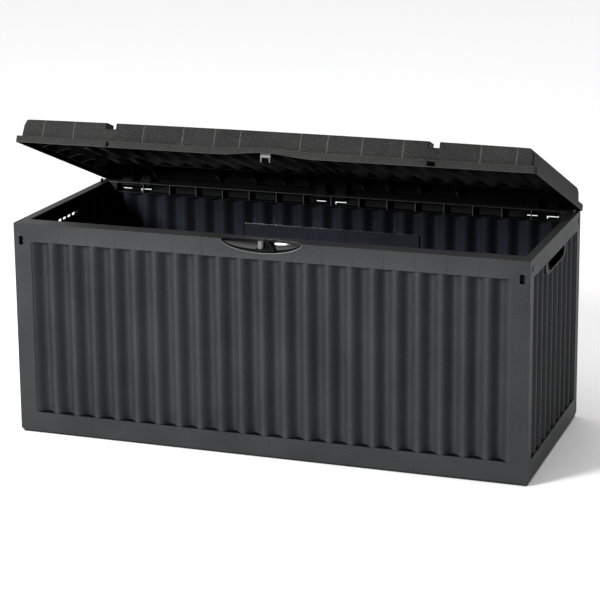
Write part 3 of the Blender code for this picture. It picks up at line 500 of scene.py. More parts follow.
def sink_lines(obj, middles, half, depth):
    """Draw the shallow sink lines that ribs behind a face leave on it; the face is at y=0."""
    bm = bmesh.new()
    bm.from_mesh(obj.data)
    for middle in middles:
        for share in SINK_SHARES:
            geometry = bm.verts[:] + bm.edges[:] + bm.faces[:]
            bmesh.ops.bisect_plane(bm, geom=geometry, plane_co=(middle + share * half, 0, 0),
                                   plane_no=(1, 0, 0), dist=1e-7)
    for vert in bm.verts:
        if vert.co.y < 1e-5:
            nearest = min(abs(vert.co.x - middle) for middle in middles)
            if nearest < half:
                vert.co.y += depth * (1.0 + math.cos(math.pi * nearest / half)) / 2.0
    bm.to_mesh(obj.data)
    bm.free()


# ---------------------------------------------------------------- walls

def wave_sheet(name, opening, waves, depth):
    """Corrugated sheet of a wall, in the wall's own frame, a little uneven as moulded sheets are."""
    foot = WALL_FOOT + BOTTOM_RAIL - FACE / 2
    head = RIM - CHANNEL_HEIGHT - FACE / 2
    half = opening + FACE / 4
    turns = 2.0 * math.pi * waves

    def near(u, v):
        x = (2.0 * u - 1.0) * half
        z = foot + (head - foot) * v
        stray = UNEVEN * math.sin(19.0 * x + 7.0 * z) * math.sin(11.0 * z + 5.0 * x)
        return Vector((x, CREST_INSET + depth * (1.0 - math.cos(turns * u)) / 2.0 + stray, z))

    def far(u, v):
        slope = depth * turns * math.sin(turns * u) / (4.0 * half)
        return near(u, v) + Vector((-slope, 1.0, 0.0)).normalized() * SHEET

    return slab(name, waves * WAVE_STEPS, SHEET_ROWS, near, far)


def scoop_solid(name, grow):
    """The finger scoop's ellipsoid, with its poles at its two ends."""
    bm = bmesh.new()
    place = (Matrix.Translation(SCOOP_CENTRE)
             @ Matrix.Diagonal((*[radius + grow for radius in SCOOP_RADII], 1.0))
             @ Matrix.Rotation(math.pi / 2, 4, "Y"))
    bmesh.ops.create_uvsphere(bm, u_segments=64, v_segments=64, radius=1.0, matrix=place)
    return from_bmesh(name, bm)


def pocket_outline(half, bottom, top):
    """Flat at the top, rounded at both lower corners."""
    radius = (HANDLE_TOP - bottom) * HANDLE_ROUND
    return ([(-half, top), (half, top)] + arc((half - radius, bottom + radius), radius, 0, -90, 10)
            + arc((-half + radius, bottom + radius), radius, -90, -180, 10))


def wall_plate(name, half, opening, foot_rounds, slot_size, slot_height, cutters=()):
    """Flat frame of a wall: rounded feet, one opening, two corner windows, sink lines over the ribs."""
    outline = rounded_rectangle((-half, WALL_FOOT), (half, RIM), (*foot_rounds, *TOP_ROUNDS))
    plate = prism(name, outline, 0.0, FACE)
    window = rounded_rectangle((-opening, WALL_FOOT + BOTTOM_RAIL), (opening, RIM - TOP_RAIL),
                               [WINDOW_ROUND] * 4)
    combine(plate, prism("window", window, -FACE, 2 * FACE))
    for side in (-1, 1):
        middle = side * (half - SLOT_FROM_END)
        low = (middle - slot_size[0] / 2, slot_height - slot_size[1] / 2)
        high = (middle + slot_size[0] / 2, slot_height + slot_size[1] / 2)
        combine(plate, prism("slot", rounded_rectangle(low, high, [SLOT_ROUND] * 4), -FACE, 2 * FACE))
    for cutter in cutters:
        combine(plate, cutter)
    round_edges(plate)
    sink_lines(plate, evenly(-opening, opening, RIB_PITCH), SINK_HALF, SINK_DEPTH)
    return plate


def span(side, near, far, y_span, z_span):
    """Corners of a box between two distances from the middle, on the +x or the -x side."""
    low, high = sorted((side * near, side * far))
    return ((low, y_span[0], z_span[0]), (high, y_span[1], z_span[1]))


def wall_inside(name, opening, flange, ledge, inner_half):
    """Channel floor, sill, foot, end flanges, inner plates and ribs."""
    channel_floor = RIM - CHANNEL_HEIGHT
    sill = WALL_FOOT + BOTTOM_RAIL
    end = opening + FACE
    root = FACE / 2
    upright = (WALL_FOOT + FACE / 2, RIM - FACE)
    pairs = [((-end, root, channel_floor - FACE), (end, ledge, channel_floor)),
             ((-end, root, sill - FACE), (end, flange, sill)),
             ((-end, root, WALL_FOOT + FIT_GAP), (end, flange, WALL_FOOT + FACE))]
    for side in (-1, 1):
        pairs.append(span(side, opening, opening + FACE, (root, flange), upright))
        pairs.append(span(side, opening, inner_half, (flange - SHEET, flange), upright))
    for middle in evenly(-opening, opening, RIB_PITCH):
        for low_z, high_z, deep in ((channel_floor - root, RIM - root, ledge - RIB),
                                    (WALL_FOOT + root, sill - root, flange - RIB)):
            pairs.append(((middle - RIB / 2, root, low_z), (middle + RIB / 2, deep, high_z)))
    return boxes(name, pairs, width=CHANNEL_ROUND)


def rim_ledge(name, ledge_span, ledge, cutters=()):
    """The rim's flat top, with a small bead turned down along its inner edge."""
    start, end = ledge_span
    top = ((start, FACE / 2, RIM - FACE), (end, ledge, RIM - STEP_BACK))
    bead = ((start, ledge - FACE, RIM - 2 * FACE), (end, ledge - STEP_BACK, RIM - FACE / 2))
    ledge_object = boxes(name, [top, bead], width=RIM_ROUND)
    for cutter in cutters:
        combine(ledge_object, cutter)
    return ledge_object


def wall_turn(location, angle):
    """Matrix that stands a wall in its place."""
    return Matrix.Translation(location) @ Matrix.Rotation(angle, 4, "Z")


def build_wall(tag, node, half, opening, waves, depth, ledge, ledge_span, inner_half, turn,
               slots, foot_rounds, plate_cutters=(), ledge_cutters=(), inside_cutters=(),
               sheet_cutters=()):
    """All the pieces that make up a wall, except what only one wall has."""
    flange = CREST_INSET + depth + SHEET + FLANGE_PROUD
    plate = wall_plate(tag + "_frame", half, opening, foot_rounds, *slots, cutters=plate_cutters)
    for face in plate.data.polygons:
        # The frame's inside faces get a near-black colour as painted shade.
        if face.normal.y > 0.5:
            face.material_index = 1
        # The frame's rounded top front edge gets a lighter colour as a painted highlight.
        elif face.normal.y < -0.2 and face.normal.z > 0.2 and face.center.z > RIM - EDGE_ROUND:
            face.material_index = 2
    settle(plate, "body", [outer_resin, painted_shade_channel_resin, painted_highlight_edge_resin], node=node, turn=turn)
    sheet = wave_sheet(tag + "_corrugation", opening, waves, depth)
    for cutter in sheet_cutters:
        combine(sheet, cutter)
    settle(sheet, "body", [outer_resin, inner_resin], turn=turn, flats=False)
    inside = wall_inside(tag + "_channels", opening, flange, ledge, inner_half)
    for cutter in inside_cutters:
        combine(inside, cutter, overlapping=True)
    for face in inside.data.polygons:
        across = [inside.data.vertices[index].co.x for index in face.vertices]
        # The ribs' front faces up in the channel get a lighter colour as a painted highlight.
        rib_front = face.normal.y > 0.7 and max(across) - min(across) < RIB
        face.material_index = 1 if rib_front and face.center.z > RIM - CHANNEL_HEIGHT else 0
    # The channels, sills, flanges and ribs are coloured near-black as painted shade, with painted highlights
    # on their edges.
    settle(inside, "body", [painted_shade_channel_resin, painted_highlight_edge_resin], turn=turn)
    rim = rim_ledge(tag + "_rim", ledge_span, ledge, ledge_cutters)
    settle(rim, "body", [rim_resin], turn=turn)


def build_long_wall(tag, node, ledge, turn, *cutters):
    """What the front and the rear wall share; the cutters are for the frame, the rim and the channels."""
    reach = HALF_LENGTH - FACE - FIT_GAP
    build_wall(tag, node, HALF_LENGTH, HALF_LENGTH - LONG_STILE, LONG_WAVES, LONG_WAVE_DEPTH, ledge,
               (-reach, reach), HALF_LENGTH - SIDE_LEDGE - FIT_GAP, turn, (SLOT_SIZE, SLOT_HEIGHT),
               (FRONT_FOOT_ROUND, FRONT_FOOT_ROUND), *cutters)


def build_front_wall():
    """Front wall and its finger scoop."""
    turn = wall_turn((0, -HALF_DEPTH, 0), 0)
    build_long_wall("front_wall", "front_panel", FRONT_LEDGE, turn, [scoop_solid("scoop_cut", 0.0)],
                    [scoop_solid("scoop_ledge_cut", SCOOP_WALL / 2)],
                    [scoop_solid("scoop_channel_cut", SCOOP_WALL / 2)])

    def bowl(grow):
        def surface(u, v):
            turn_x, turn_z = math.pi * u, math.pi / 2 * v
            radii = [radius + grow for radius in SCOOP_RADII]
            point = SCOOP_CENTRE + Vector((radii[0] * math.cos(turn_x),
                                           radii[1] * math.sin(turn_x) * math.cos(turn_z),
                                           -radii[2] * math.sin(turn_x) * math.sin(turn_z)))
            return Vector((point.x, max(point.y, FACE / 3), min(point.z, RIM - FIT_GAP)))
        return surface

    scoop = slab("front_wall_scoop", 96, 32, bowl(0.0), bowl(SCOOP_WALL))
    settle(scoop, "body", [polished_resin, inner_resin], turn=turn, flats=False)
    path = [(SCOOP_RADII.x * math.cos(angle), SCOOP_CENTRE.z - SCOOP_RADII.z * math.sin(angle))
            for angle in (math.pi * (index + 1) / 50 for index in range(49))]
    lip = tube("front_wall_scoop_lip", path, SCOOP_LIP, SCOOP_LIP)
    # The bead round the scoop gets a lighter colour as a painted highlight.
    settle(lip, "body", [painted_highlight_edge_resin], turn=turn)


def build_rear_wall():
    """Rear wall with its hinge notches, and the flat plate inside it."""
    turn = wall_turn((0, HALF_DEPTH, 0), math.pi)

    def notches(half_width, floor):
        pairs = [((-place - half_width, -FACE, floor), (-place + half_width, HINGE_NOTCH_DEPTH, RIM + FACE))
                 for place in HINGE_PLACES]
        return boxes("hinge_notches", pairs)

    def wide():
        return notches(HINGE_NOTCH_HALF, HINGE_NOTCH_FLOOR)

    def heads():
        near, far, half_height = PIN_HEAD_POCKET
        return boxes("pin_head_pockets", [
            ((-place + near, HALF_DEPTH - AXIS.y - half_height, AXIS.z - half_height),
             (-place + far, HALF_DEPTH - AXIS.y + half_height, AXIS.z + half_height))
            for place in HINGE_PLACES], FINE_ROUND)

    def deep():
        return notches(BRACKET_NOTCH_HALF, RIM - CHANNEL_HEIGHT)

    build_long_wall("rear_wall", "rear_panel", REAR_LEDGE, turn, [wide(), deep(), heads()], [wide()],
                    [wide(), deep(), heads()])
    plate_front = CREST_INSET + LONG_WAVE_DEPTH
    plate = boxes("rear_wall_inner_plate", [
        ((-REAR_PLATE_HALF, plate_front, REAR_PLATE_HEIGHT[0]),
         (REAR_PLATE_HALF, plate_front + REAR_PLATE_THICKNESS, REAR_PLATE_HEIGHT[1]))])
    settle(plate, "body", [inner_resin], turn=turn)


def hand_pocket(tag, opening):
    """Moulded rim, pocket and guard of one hand hold, in its wall's frame."""
    back = SHORT_WAVE_DEPTH + SHEET + CREST_INSET
    pocket = back - GUARD
    shell = prism(tag + "_hand_pocket",
                  pocket_outline(HANDLE_BOSS_HALF, HANDLE_BOSS_BOTTOM, RIM - CHANNEL_HEIGHT), FACE / 6, back)
    combine(shell, prism("pocket", pocket_outline(HANDLE_HALF, HANDLE_BOTTOM, HANDLE_TOP), -FACE, pocket))
    gap_foot = HANDLE_TOP + FACE / 3
    gap_top = gap_foot + GAP_SIZE[1]
    combine(shell, boxes("roof", [((-HANDLE_HALF + FACE, FACE + FINE_ROUND, HANDLE_TOP - FACE),
                                   (HANDLE_HALF - FACE, pocket, gap_top))], FINE_ROUND))
    half_wave = opening / SHORT_WAVES
    gaps = []
    for index in range(GAPS):
        middle = (index - (GAPS - 1) / 2) * half_wave
        gaps.append(((middle - GAP_SIZE[0] / 2, pocket - FACE, gap_foot),
                     (middle + GAP_SIZE[0] / 2, back + FACE, gap_top)))
    combine(shell, boxes("gaps", gaps))
    return round_edges(shell, width=POCKET_ROUND, segments=2)


def pocket_lip(tag):
    """Raised U-shaped lip that follows the sides and the foot of the hand pocket."""
    outline = pocket_outline(HANDLE_HALF + LIP_RADIUS, HANDLE_BOTTOM - LIP_RADIUS, HANDLE_TOP)[1:]
    path = outline + [(-HANDLE_HALF - LIP_RADIUS, HANDLE_TOP)]
    return tube(tag + "_pocket_lip", path, LIP_RADIUS, LIP_RADIUS / 3)


def build_side_wall(tag, node, side):
    """Short wall with its hand pocket, lip and ear; side is +1 on the right, -1 on the left."""
    half = HALF_DEPTH - FACE - FIT_GAP
    opening = HALF_DEPTH - SHORT_STILE
    inner_half = HALF_DEPTH - (LONG_WAVE_DEPTH + SHEET + CREST_INSET + FLANGE_PROUD) - FIT_GAP
    front_end = -(HALF_DEPTH - FRONT_LEDGE - FIT_GAP)
    rear_end = HALF_DEPTH - REAR_LEDGE - FIT_GAP
    ledge_span = (front_end, rear_end) if side > 0 else (-rear_end, -front_end)
    feet = (FRONT_FOOT_ROUND, REAR_FOOT_ROUND) if side > 0 else (REAR_FOOT_ROUND, FRONT_FOOT_ROUND)
    turn = wall_turn((side * HALF_LENGTH, 0, 0), side * math.pi / 2)
    build_wall(tag, node, half, opening, SHORT_WAVES, SHORT_WAVE_DEPTH, SIDE_LEDGE, ledge_span,
               inner_half, turn, (SIDE_SLOT_SIZE, SIDE_SLOT_HEIGHT), feet,
               sheet_cutters=[prism("pocket_place", pocket_outline(
                   HANDLE_BOSS_HALF - FACE, HANDLE_BOSS_BOTTOM + FACE, RIM), -FACE, 2 * HANDLE_TOP)])
    pocket = hand_pocket(tag, opening)
    # Faces inside the hold are coloured near-black as painted shade.
    for face in pocket.data.polygons:
        within = abs(face.center.x) < HANDLE_HALF + FACE / 6 and face.center.z > HANDLE_BOTTOM - FACE / 6
        face.material_index = 1 if within and face.center.y > FACE else 0
    settle(pocket, "body", [outer_resin, painted_shade_pocket_resin], turn=turn)
    settle(pocket_lip(tag), "body", [outer_resin], turn=turn)
    middle = side * (rear_end - EAR_FROM_END)
    ear = boxes(tag + "_ear", [((middle - EAR_HALF, EAR_DEPTH[0], RIM - FACE / 2),
                                (middle + EAR_HALF, EAR_DEPTH[1], RIM + EAR_RISE))], width=RIM_ROUND)
    settle(ear, "body", [rim_resin], turn=turn)


# ---------------------------------------------------------------- lid, modelled closed

LEFT = -HALF_LENGTH - LID_SIDE
RIGHT = HALF_LENGTH + LID_SIDE
FRONT = -HALF_DEPTH - LID_FRONT
REAR = HALF_DEPTH + LID_REAR
LID_TOP = LID_BOTTOM + LID_HEIGHT
WELL = LID_SHOULDER + LID_BORDER
FIELD_LOW = LID_TOP - FIELD_DROP


def camber(x):
    """Height of the lid's slow crown at x."""
    return LID_CAMBER * (1.0 - (x / HALF_LENGTH) ** 2)


def lid_profile():
    """Section of the lid's casing: distance in from the foot's edge, and height, as a closed loop."""
    band_top = LID_BOTTOM + LID_BAND
    slope_in = LID_SHOULDER + LID_DRAFT
    points = [(LID_FOOT_ROUND, LID_BOTTOM), (0.0, LID_BOTTOM + LID_FOOT_ROUND)]
    points += [(LID_BAND_ROUND - x, band_top - LID_BAND_ROUND + z)
               for x, z in arc((0, 0), LID_BAND_ROUND, 0, 90, 3)]
    points += [(LID_SHOULDER - 0.0015, band_top + STEP_BACK),
               (LID_SHOULDER - LID_SHOULDER_ROUND, band_top + 0.0010),
               (LID_SHOULDER + LID_SHOULDER_ROUND, band_top + 0.0035),
               (LID_SHOULDER + 0.0018, LID_TOP - 0.0140)]
    points += [(slope_in + LID_EDGE - x, LID_TOP - LID_EDGE + z) for x, z in arc((0, 0), LID_EDGE, 8, 90, 5)]
    points += [(slope_in + share * LID_END_ROUND, LID_TOP) for share in LID_END_SHARES]
    points += [(WELL - 0.012, LID_TOP)]
    points += [(WELL - LID_WELL_ROUND + x, LID_TOP - LID_WELL_ROUND + z)
               for x, z in arc((0, 0), LID_WELL_ROUND, 90, 5, 4)]
    points += [(WELL, FIELD_LOW), (WELL - LID_WALL, FIELD_LOW - LID_INNER_STEP)]
    points += [(WELL - LID_WALL, LID_TOP - LID_WALL - LID_INNER_STEP),
               (WELL - LID_WALL - LID_INNER_STEP, LID_TOP - LID_WALL)]
    points += [(slope_in + LID_WALL, LID_TOP - LID_WALL), (LID_SHOULDER + LID_WALL, band_top + 0.002),
               (LID_SHOULDER + LID_WALL - 0.0008, band_top - LID_WALL),
               (LID_WALL, band_top - LID_WALL - LID_FOOT_ROUND),
               (LID_WALL, LID_BOTTOM + LID_FOOT_ROUND), (LID_WALL - LID_FOOT_ROUND, LID_BOTTOM)]
    return points


def side_places(end, pitch, lines):
    """Places along a straight side: even steps, and five more across each sink line."""
    count = max(2, round(2 * end / pitch))
    places = {round(-end + 2 * end * index / count, 5) for index in range(count + 1)}
    for line in lines:
        places = {place for place in places if abs(place - line) > SINK_HALF * 1.4}
        places |= {round(line + share * SINK_HALF, 5) for share in SINK_SHARES}
    return sorted(places)


def lid_loop(inset, along_x, along_y):
    """The lid's plan at one distance in from its foot's edge, as a list of points."""
    radius = max(LID_CORNER - inset, LID_INNER_CORNER)
    left, right, front, rear = LEFT + inset, RIGHT - inset, FRONT + inset, REAR - inset
    middle_y = (FRONT + REAR) / 2
    shrink_x = min(1.0, (right - radius - 0.0005) / STRAIGHT_END)
    shrink_y = min(1.0, (rear - radius - 0.0005 - middle_y) / max(along_y))
    xs = [x * shrink_x for x in along_x]
    ys = [middle_y + y * shrink_y for y in along_y]
    loop = [(x, front) for x in xs]
    loop += arc((right - radius, front + radius), radius, -90, 0, LID_ARC_STEPS)
    loop += [(right, y) for y in ys]
    loop += arc((right - radius, rear - radius), radius, 0, 90, LID_ARC_STEPS)
    loop += [(x, rear) for x in reversed(xs)]
    loop += arc((left + radius, rear - radius), radius, 90, 180, LID_ARC_STEPS)
    loop += [(left, y) for y in reversed(ys)]
    loop += arc((left + radius, front + radius), radius, 180, 270, LID_ARC_STEPS)
    return loop


def end_drop(x):
    """How far the lid's rounded ends lie below its top at x."""
    beyond = abs(x) - (RIGHT - LID_SHOULDER - LID_DRAFT - LID_END_ROUND)
    beyond = min(max(beyond, 0.0), LID_END_ROUND * LID_END_LIMIT)
    return LID_END_ROUND - math.sqrt(LID_END_ROUND ** 2 - beyond ** 2)


def lid_casing():
    """Band, shoulder, sloping wall, border and the well's walls, swept round the lid's plan."""
    profile = lid_profile()
    along_x = side_places(STRAIGHT_END, LONG_PITCH, GUSSET_X)
    middle_y = (FRONT + REAR) / 2
    gusset_y = [y - middle_y for y in evenly(FRONT + WELL, REAR - WELL, RIB_PITCH)]
    along_y = side_places(SHORT_STRAIGHT_END, SHORT_PITCH, gusset_y)
    band_top = LID_BOTTOM + LID_BAND
    bm = bmesh.new()
    rings = []
    for row, (inset, height) in enumerate(profile):
        skin = LID_WALL if row > len(profile) - INNER_ROWS else 0.0
        outside = (LID_SHOULDER < inset < LID_SHOULDER + LID_DRAFT + LID_EDGE / 2
                   and band_top + 0.002 < height < LID_TOP - LID_EDGE / 4)
        ring = []
        for x, y in lid_loop(inset, along_x, along_y):
            z = height
            share = min(1.0, max(0.0, (height - band_top) / (LID_TOP - LID_WALL - band_top)))
            z += camber(x) * share
            at_front = y < FRONT + LID_SHOULDER + LID_DRAFT + 2 * LID_WALL
            if at_front and abs(x) < ARCH_HALF and share < 1.0:
                lift = ARCH_RISE * (math.cos(math.pi * x / ARCH_HALF) + 1.0) / 2.0
                low_share = (height - LID_BOTTOM) / (LID_TOP - LID_BOTTOM)
                z += lift * max(0.0, 1.0 - ARCH_FADE * low_share)
            if height > band_top + LID_WALL:
                z = min(z, LID_TOP + camber(x) - end_drop(x) - skin)
            if outside:
                nearest = min(abs(x - line) for line in GUSSET_X)
                if nearest < SINK_HALF and at_front:
                    y += LID_SINK_DEPTH * (1.0 + math.cos(math.pi * nearest / SINK_HALF)) / 2.0
            ring.append(bm.verts.new((x, y, z)))
        rings.append(ring)
    count = len(rings[0])
    for number, (ring, following) in enumerate(zip(rings, rings[1:] + rings[:1])):
        for index in range(count):
            after = (index + 1) % count
            face = bm.faces.new((ring[index], ring[after], following[after], following[index]))
            middle = (ring[index].co + ring[after].co) / 2
            nearest = min(abs(middle.x - line) for line in GUSSET_X)
            # The casing's inside faces get a near-black colour as painted shade.
            if number >= len(rings) - INNER_ROWS:
                face.material_index = 1
            # The band's edge rows and the strips over the front sink lines get a lighter colour as a painted
            # highlight.
            elif number in BAND_HIGHLIGHT_ROWS:
                face.material_index = 2
            elif nearest < SINK_HALF * 0.6 and middle.y < FRONT + WELL / 2 and middle.z > band_top:
                face.material_index = 2
    return from_bmesh("lid_casing", bm)


def lid_field():
    """Sunken corrugated field, its waves running from front to back."""
    waves = LONG_WAVES - 1
    turns = 2.0 * math.pi * waves
    left, right = LEFT + WELL - LID_WALL / 2, RIGHT - WELL + LID_WALL / 2
    front, rear = FRONT + WELL - LID_WALL / 2, REAR - WELL + LID_WALL / 2

    def upper(u, v):
        x = left + (right - left) * u
        y = front + (rear - front) * v
        stray = UNEVEN * math.sin(17.0 * x + 9.0 * y) * math.sin(13.0 * y - 6.0 * x)
        return Vector((x, y, FIELD_LOW + FIELD_WAVE * (1.0 - math.cos(turns * u)) / 2.0 + camber(x) + stray))

    def lower(u, v):
        slope = FIELD_WAVE * turns * math.sin(turns * u) / (2.0 * (right - left))
        return upper(u, v) - Vector((-slope, 0.0, 1.0)).normalized() * SHEET

    return slab("lid_field", waves * WAVE_STEPS, FIELD_ROWS, upper, lower)


def gusset_outline():
    """A gusset from the lid's outer wall to the well's, with an arched lower edge."""
    outer, inner = LID_SHOULDER + LID_WALL / 2, WELL - LID_WALL / 2
    low = LID_BOTTOM + GUSSET_RISE
    points = [(outer, low)]
    for index in range(1, GUSSET_STEPS + 1):
        share = index / GUSSET_STEPS
        rise = GUSSET_ARCH * math.sin(math.pi / 2 * share) ** GUSSET_POWER
        points.append((outer + (inner - outer) * share, low + rise))
    return points + [(inner, LID_TOP - LID_WALL), (outer + 0.5 * LID_END_ROUND, LID_TOP - LID_WALL - FACE),
                     (outer + FACE / 2, LID_TOP - LID_END_ROUND - LID_WALL)]


def add_gusset(bm, place):
    """One gusset, its thickness along X, set in place by a matrix."""
    ring = [place @ Vector((-RIB / 2, inset, z)) for inset, z in gusset_outline()]
    extrude(bm, ring, place.to_3x3() @ Vector((RIB, 0.0, 0.0)))


def lid_gussets():
    """Gussets round the inside of the lid, left out at the hasp and at the hinges."""
    bm = bmesh.new()
    for x in GUSSET_X:
        if abs(x) < HALF_LENGTH - WELL:
            add_gusset(bm, Matrix.Translation((x, FRONT, 0)))
            if min(abs(x - place) for place in HINGE_PLACES) > HINGE_NOTCH_HALF + 2 * RIB:
                add_gusset(bm, Matrix.Translation((x, REAR, 0)) @ Matrix.Rotation(math.pi, 4, "Z"))
    for y in evenly(FRONT + WELL, REAR - WELL, RIB_PITCH):
        add_gusset(bm, Matrix.Translation((LEFT, y, 0)) @ Matrix.Rotation(-math.pi / 2, 4, "Z"))
        add_gusset(bm, Matrix.Translation((RIGHT, y, 0)) @ Matrix.Rotation(math.pi / 2, 4, "Z"))
    return from_bmesh("lid_gussets", bm)


def build_lid():
    """The lid's pieces, turned open with the joint."""
    casing = lid_casing()
    top = LID_TOP + camber(NOTCH_X)
    channels = []
    for side in (-1, 1):
        x = side * NOTCH_X
        half = NOTCH_WIDTH / 2
        combine(casing, boxes("drain_notch", [((x - half, FRONT, top - NOTCH_DEPTH),
                                               (x + half, FRONT + WELL + LID_WALL, top + LID_WALL))]))
        combine(casing, boxes("band_recess", [
            ((x - RECESS_WIDTHS[side] / 2, FRONT - LID_WALL, LID_BOTTOM + FACE / 2),
             (x + RECESS_WIDTHS[side] / 2, FRONT + 1.5 * LID_WALL, LID_BOTTOM + FACE / 2 + RECESS_HEIGHT))]))
        floor = top - NOTCH_DEPTH
        start = FRONT + LID_SHOULDER + CHANNEL_START
        end = FRONT + WELL - LID_WALL / 2
        channels.append(((x - half - RIB, start, floor - RIB), (x + half + RIB, end, floor)))
        for edge in (x - half - RIB, x + half):
            channels.append(((edge, start + 0.0005, floor - RIB), (edge + RIB, end, top - LID_WALL / 2)))
    settle(casing, "lid", [lid_resin, painted_shade_under_resin, painted_highlight_line_resin], node="lid", turn=LID_TURN)
    # The drain channels, gussets and the field's underside are coloured near-black as painted shade.
    for piece in (boxes("lid_drain_channels", channels, width=DRAIN_ROUND), lid_gussets()):
        settle(piece, "lid", [painted_shade_under_resin], turn=LID_TURN)
    settle(lid_field(), "lid", [lid_resin, painted_shade_under_resin], turn=LID_TURN, flats=False)


# ---------------------------------------------------------------- lock insert in the scoop

def scoop_limit():
    """Ellipsoid that trims the insert to the scoop, in world coordinates."""
    limit = scoop_solid("limit", -LOCK_CLEARANCE)
    limit.data.transform(Matrix.Translation((0, -HALF_DEPTH, 0)))
    return limit


def build_lock():
    """Black insert with a wedge and an eye, and the light grey fluted post."""
    front = -HALF_DEPTH
    low = (LOCK_FOOT_X[0], front + LOCK_FOOT_FRONT, RIM - SCOOP_RADII.z - FACE)
    high = (LOCK_FOOT_X[1], front + SCOOP_RADII.y + FACE, LOCK_BASE)
    foot = boxes("lock_insert", [(low, high)], LOCK_FOOT_ROUND)
    near, top_end, far = WEDGE_X
    small, large = WEDGE_ROUNDS
    outline = [(near, LOCK_BASE - FACE), (far, LOCK_BASE - FACE), (far, LOCK_BASE + FACE)]
    outline += arc((top_end + large / 2, LOCK_TOP - large), large, 45, 90, 4)
    outline += arc((near + small, LOCK_TOP - small), small, 90, 180, 4)
    wedge = prism("wedge", outline, front + WEDGE_DEPTH[0], front + WEDGE_DEPTH[1])
    combine(foot, wedge, "UNION")
    eye = prism("eye", arc((EYE_X, EYE_HEIGHT), EYE_RADIUS, 0, 345, 23), front - 0.01, front + 0.04)
    combine(foot, eye)
    combine(foot, scoop_limit(), "INTERSECT")
    round_edges(foot, width=LOCK_ROUND, segments=2)
    settle(foot, "body", [clip_resin], node="lock_eye")

    steps = POST_FLUTES * FLUTE_STEPS
    bm = bmesh.new()
    rings = []
    for shrink, height in POST_ROWS:
        ring = []
        for index in range(steps):
            angle = 2.0 * math.pi * index / steps
            reach = POST_RADIUS * shrink * (1.0 + FLUTE_DEPTH * shrink * math.cos(POST_FLUTES * angle))
            ring.append(bm.verts.new((HASP_X + reach * math.cos(angle),
                                      front + POST_DEPTH + reach * math.sin(angle), height)))
        rings.append(ring)
    for lower, upper in zip(rings, rings[1:]):
        for index in range(steps):
            after = (index + 1) % steps
            bm.faces.new((lower[index], lower[after], upper[after], upper[index]))
    bm.faces.new(rings[0])
    bm.faces.new(rings[-1])
    settle(from_bmesh("lock_post", bm), "body", [tongue_resin])


# ---------------------------------------------------------------- carried-over nodes

def finish_node(name, material, width):
    """Give a CAD node its material and rounded edges."""
    node = frame["nodes"][name]
    node.data.materials.clear()
    node.data.materials.append(material)
    weld = node.modifiers.new("weld", "WELD")
    weld.merge_threshold = 0.00001
    add_bevel(node, width, 2, 35)
    keep_flats(node)


def finish_carried_nodes():
    """Floor, corner keys, hinges and hasp."""
    finish_node("floor_panel", floor_resin, NODE_ROUNDS["floor"])
    for corner in ("front_left", "front_right", "rear_left", "rear_right"):
        finish_node("corner_key_" + corner, clip_resin, NODE_ROUNDS["part"])
    for place in ("left", "center", "right"):
        finish_node("hinge_bracket_" + place, clip_resin, NODE_ROUNDS["part"])
        finish_node("lid_leaf_" + place, clip_resin, NODE_ROUNDS["part"])
        finish_node("hinge_pin_" + place, clip_resin, NODE_ROUNDS["pin"])
    finish_node("lid_hasp", tongue_resin, NODE_ROUNDS["part"])


# ---------------------------------------------------------------- stage, light and camera

def build_stage():
    """Plain pale floor that runs out to the horizon."""
    bm = bmesh.new()
    bmesh.ops.create_grid(bm, x_segments=2, y_segments=2, size=STAGE_HALF)
    floor = from_bmesh("studio_floor", bm)
    material = bpy.data.materials.new("pale_floor")
    material.use_nodes = True
    shader = material.node_tree.nodes["Principled BSDF"]
    shader.inputs["Base Color"].default_value = (0.95, 0.95, 0.95, 1.0)
    shader.inputs["Roughness"].default_value = 0.9
    floor.data.materials.append(material)
    floor.location.z = -STAGE_DROP


def area_light(name, place, target, size, power):
    """Soft light with an elliptical face that looks at a point."""
    light = bpy.data.lights.new(name, "AREA")
    light.shape = "ELLIPSE"
    light.size, light.size_y = size
    light.energy = power
    obj = new_object(name, light)
    obj.location = place
    obj.rotation_euler = (Vector(target) - Vector(place)).to_track_quat("-Z", "Y").to_euler()


def build_light():
    """White studio: brightest overhead, brighter from the left than the right, key light in front."""
    world = bpy.data.worlds.new("studio")
    bpy.context.scene.world = world
    world.use_nodes = True
    tree = world.node_tree
    where = add_node(tree, "ShaderNodeTexCoord", (-900, 0))
    parts = add_node(tree, "ShaderNodeSeparateXYZ", (-700, 0))
    tree.links.new(where.outputs["Generated"], parts.inputs[0])
    total = None
    for index, (axis, (start, low, high)) in enumerate(WORLD_LIGHT.items()):
        share = ramp(tree, parts.outputs[axis], start, 1.0, low, high, (-500, 200 * index))
        if total is None:
            total = share
        else:
            added = add_node(tree, "ShaderNodeMath", (-300, 200 * index), operation="ADD")
            tree.links.new(total, added.inputs[0])
            tree.links.new(share, added.inputs[1])
            total = added.outputs[0]
    least = add_node(tree, "ShaderNodeMath", (-100, 0), operation="MAXIMUM")
    least.inputs[1].default_value = WORLD_LEAST
    tree.links.new(total, least.inputs[0])
    tree.links.new(least.outputs[0], tree.nodes["Background"].inputs["Strength"])
    tree.nodes["Background"].inputs["Color"].default_value = (1.0, 1.0, 1.0, 1.0)
    area_light("key", KEY_PLACE, KEY_TARGET, KEY_SIZE, KEY_POWER)
    bpy.context.scene.view_settings.view_transform = "Standard"


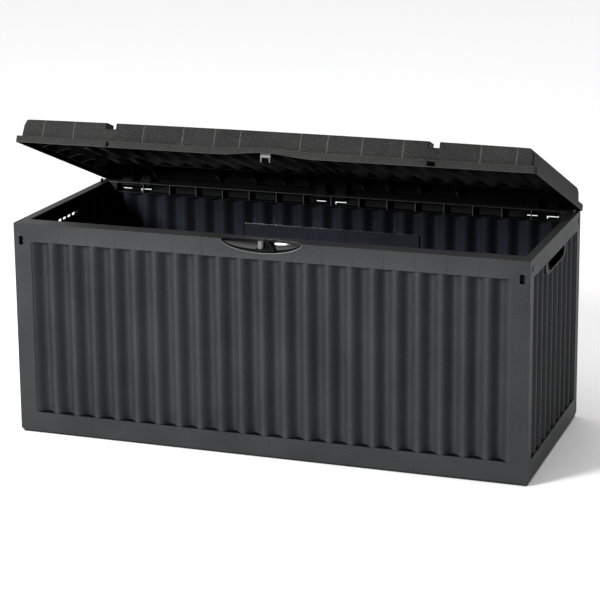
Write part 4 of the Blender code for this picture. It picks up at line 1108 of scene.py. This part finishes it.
def build_camera():
    """Camera with a long lens, in front of the box and to its right."""
    data = bpy.data.cameras.new("camera")
    data.lens = CAMERA_LENS
    data.sensor_width = 36.0
    data.shift_y = CAMERA_SHIFT
    data.clip_end = 200.0
    camera = new_object("camera", data)
    camera.location = CAMERA_PLACE
    camera.rotation_euler = CAMERA_TURN
    bpy.context.scene.camera = camera


# ---------------------------------------------------------------- make everything

outer_resin = moulded("anthracite_grained", (0.0215, 0.0220, 0.0240), 0.48, mottle=0.00025, shine=0.14)
rim_resin = moulded("anthracite_rim", (0.026, 0.026, 0.027), 0.40, streaks=0.05, spread=0.25, mottle=0.00015)
# Lighter colour as a painted highlight on the top front edges, the channel ribs' fronts and the scoop's
# bead.
painted_highlight_edge_resin = moulded("anthracite_painted_highlight_edges", (0.110, 0.110, 0.112), 0.36, shine=0.5)
inner_resin = moulded("black_satin_inside", (0.0130, 0.0150, 0.0200), 0.17, grain_depth=0.00001, edge_highlight=0.15,
                      streaks=0.06, coat=0.5, shine=0.5)
# Near-black colour as painted shade on the insides of the walls, with strong painted highlights on edges.
painted_shade_channel_resin = moulded("black_painted_shade_channels", (0.0030, 0.0032, 0.0038), 0.45, grain_depth=0.00001, edge_highlight=0.7,
                        shine=0.03, edge=0.030)
lid_resin = moulded("anthracite_lid", (0.0160, 0.0158, 0.0156), 0.55, mottle=0.00035, shine=0.05, fleck=0.95,
                    spread=0.32)
# Lighter colour as painted highlight lines along the lid's band and over its sink lines.
painted_highlight_line_resin = moulded("anthracite_lid_painted_highlight_lines", (0.046, 0.046, 0.045), 0.50, shine=0.15)
# Near-black colour as painted shade under the lid, with painted highlights on edges.
painted_shade_under_resin = moulded("black_satin_painted_shade_under_lid", (0.0018, 0.0019, 0.0022), 0.40, grain_depth=0.00001, edge_highlight=0.4,
                      streaks=0.06, shine=0.03, edge=0.020)
polished_resin = moulded("polished_scoop", (0.004, 0.004, 0.0045), 0.13, grain_depth=0.000002, edge_highlight=0.05,
                         shine=0.5, coat=0.2)
# Near-black colour as painted shade inside the hand pockets.
painted_shade_pocket_resin = moulded("black_painted_shade_pocket", (0.002, 0.002, 0.0022), 0.45, grain_depth=0.00001, edge_highlight=0.0,
                       shine=0.03)
floor_resin = moulded("black_floor", (0.008, 0.0082, 0.009), 0.36, shine=0.2)
clip_resin = moulded("black_clips", (0.002, 0.002, 0.0022), 0.38, grain_depth=0.00001, edge_highlight=0.15, shine=0.05)
tongue_resin = moulded("grey_tongue", (0.11, 0.11, 0.11), 0.36, grain_depth=0.00001, spread=0.08)

build_front_wall()
build_rear_wall()
build_side_wall("left_wall", "left_panel", -1)
build_side_wall("right_wall", "right_panel", 1)
build_lid()
build_lock()
finish_carried_nodes()
build_stage()
build_light()
build_camera()
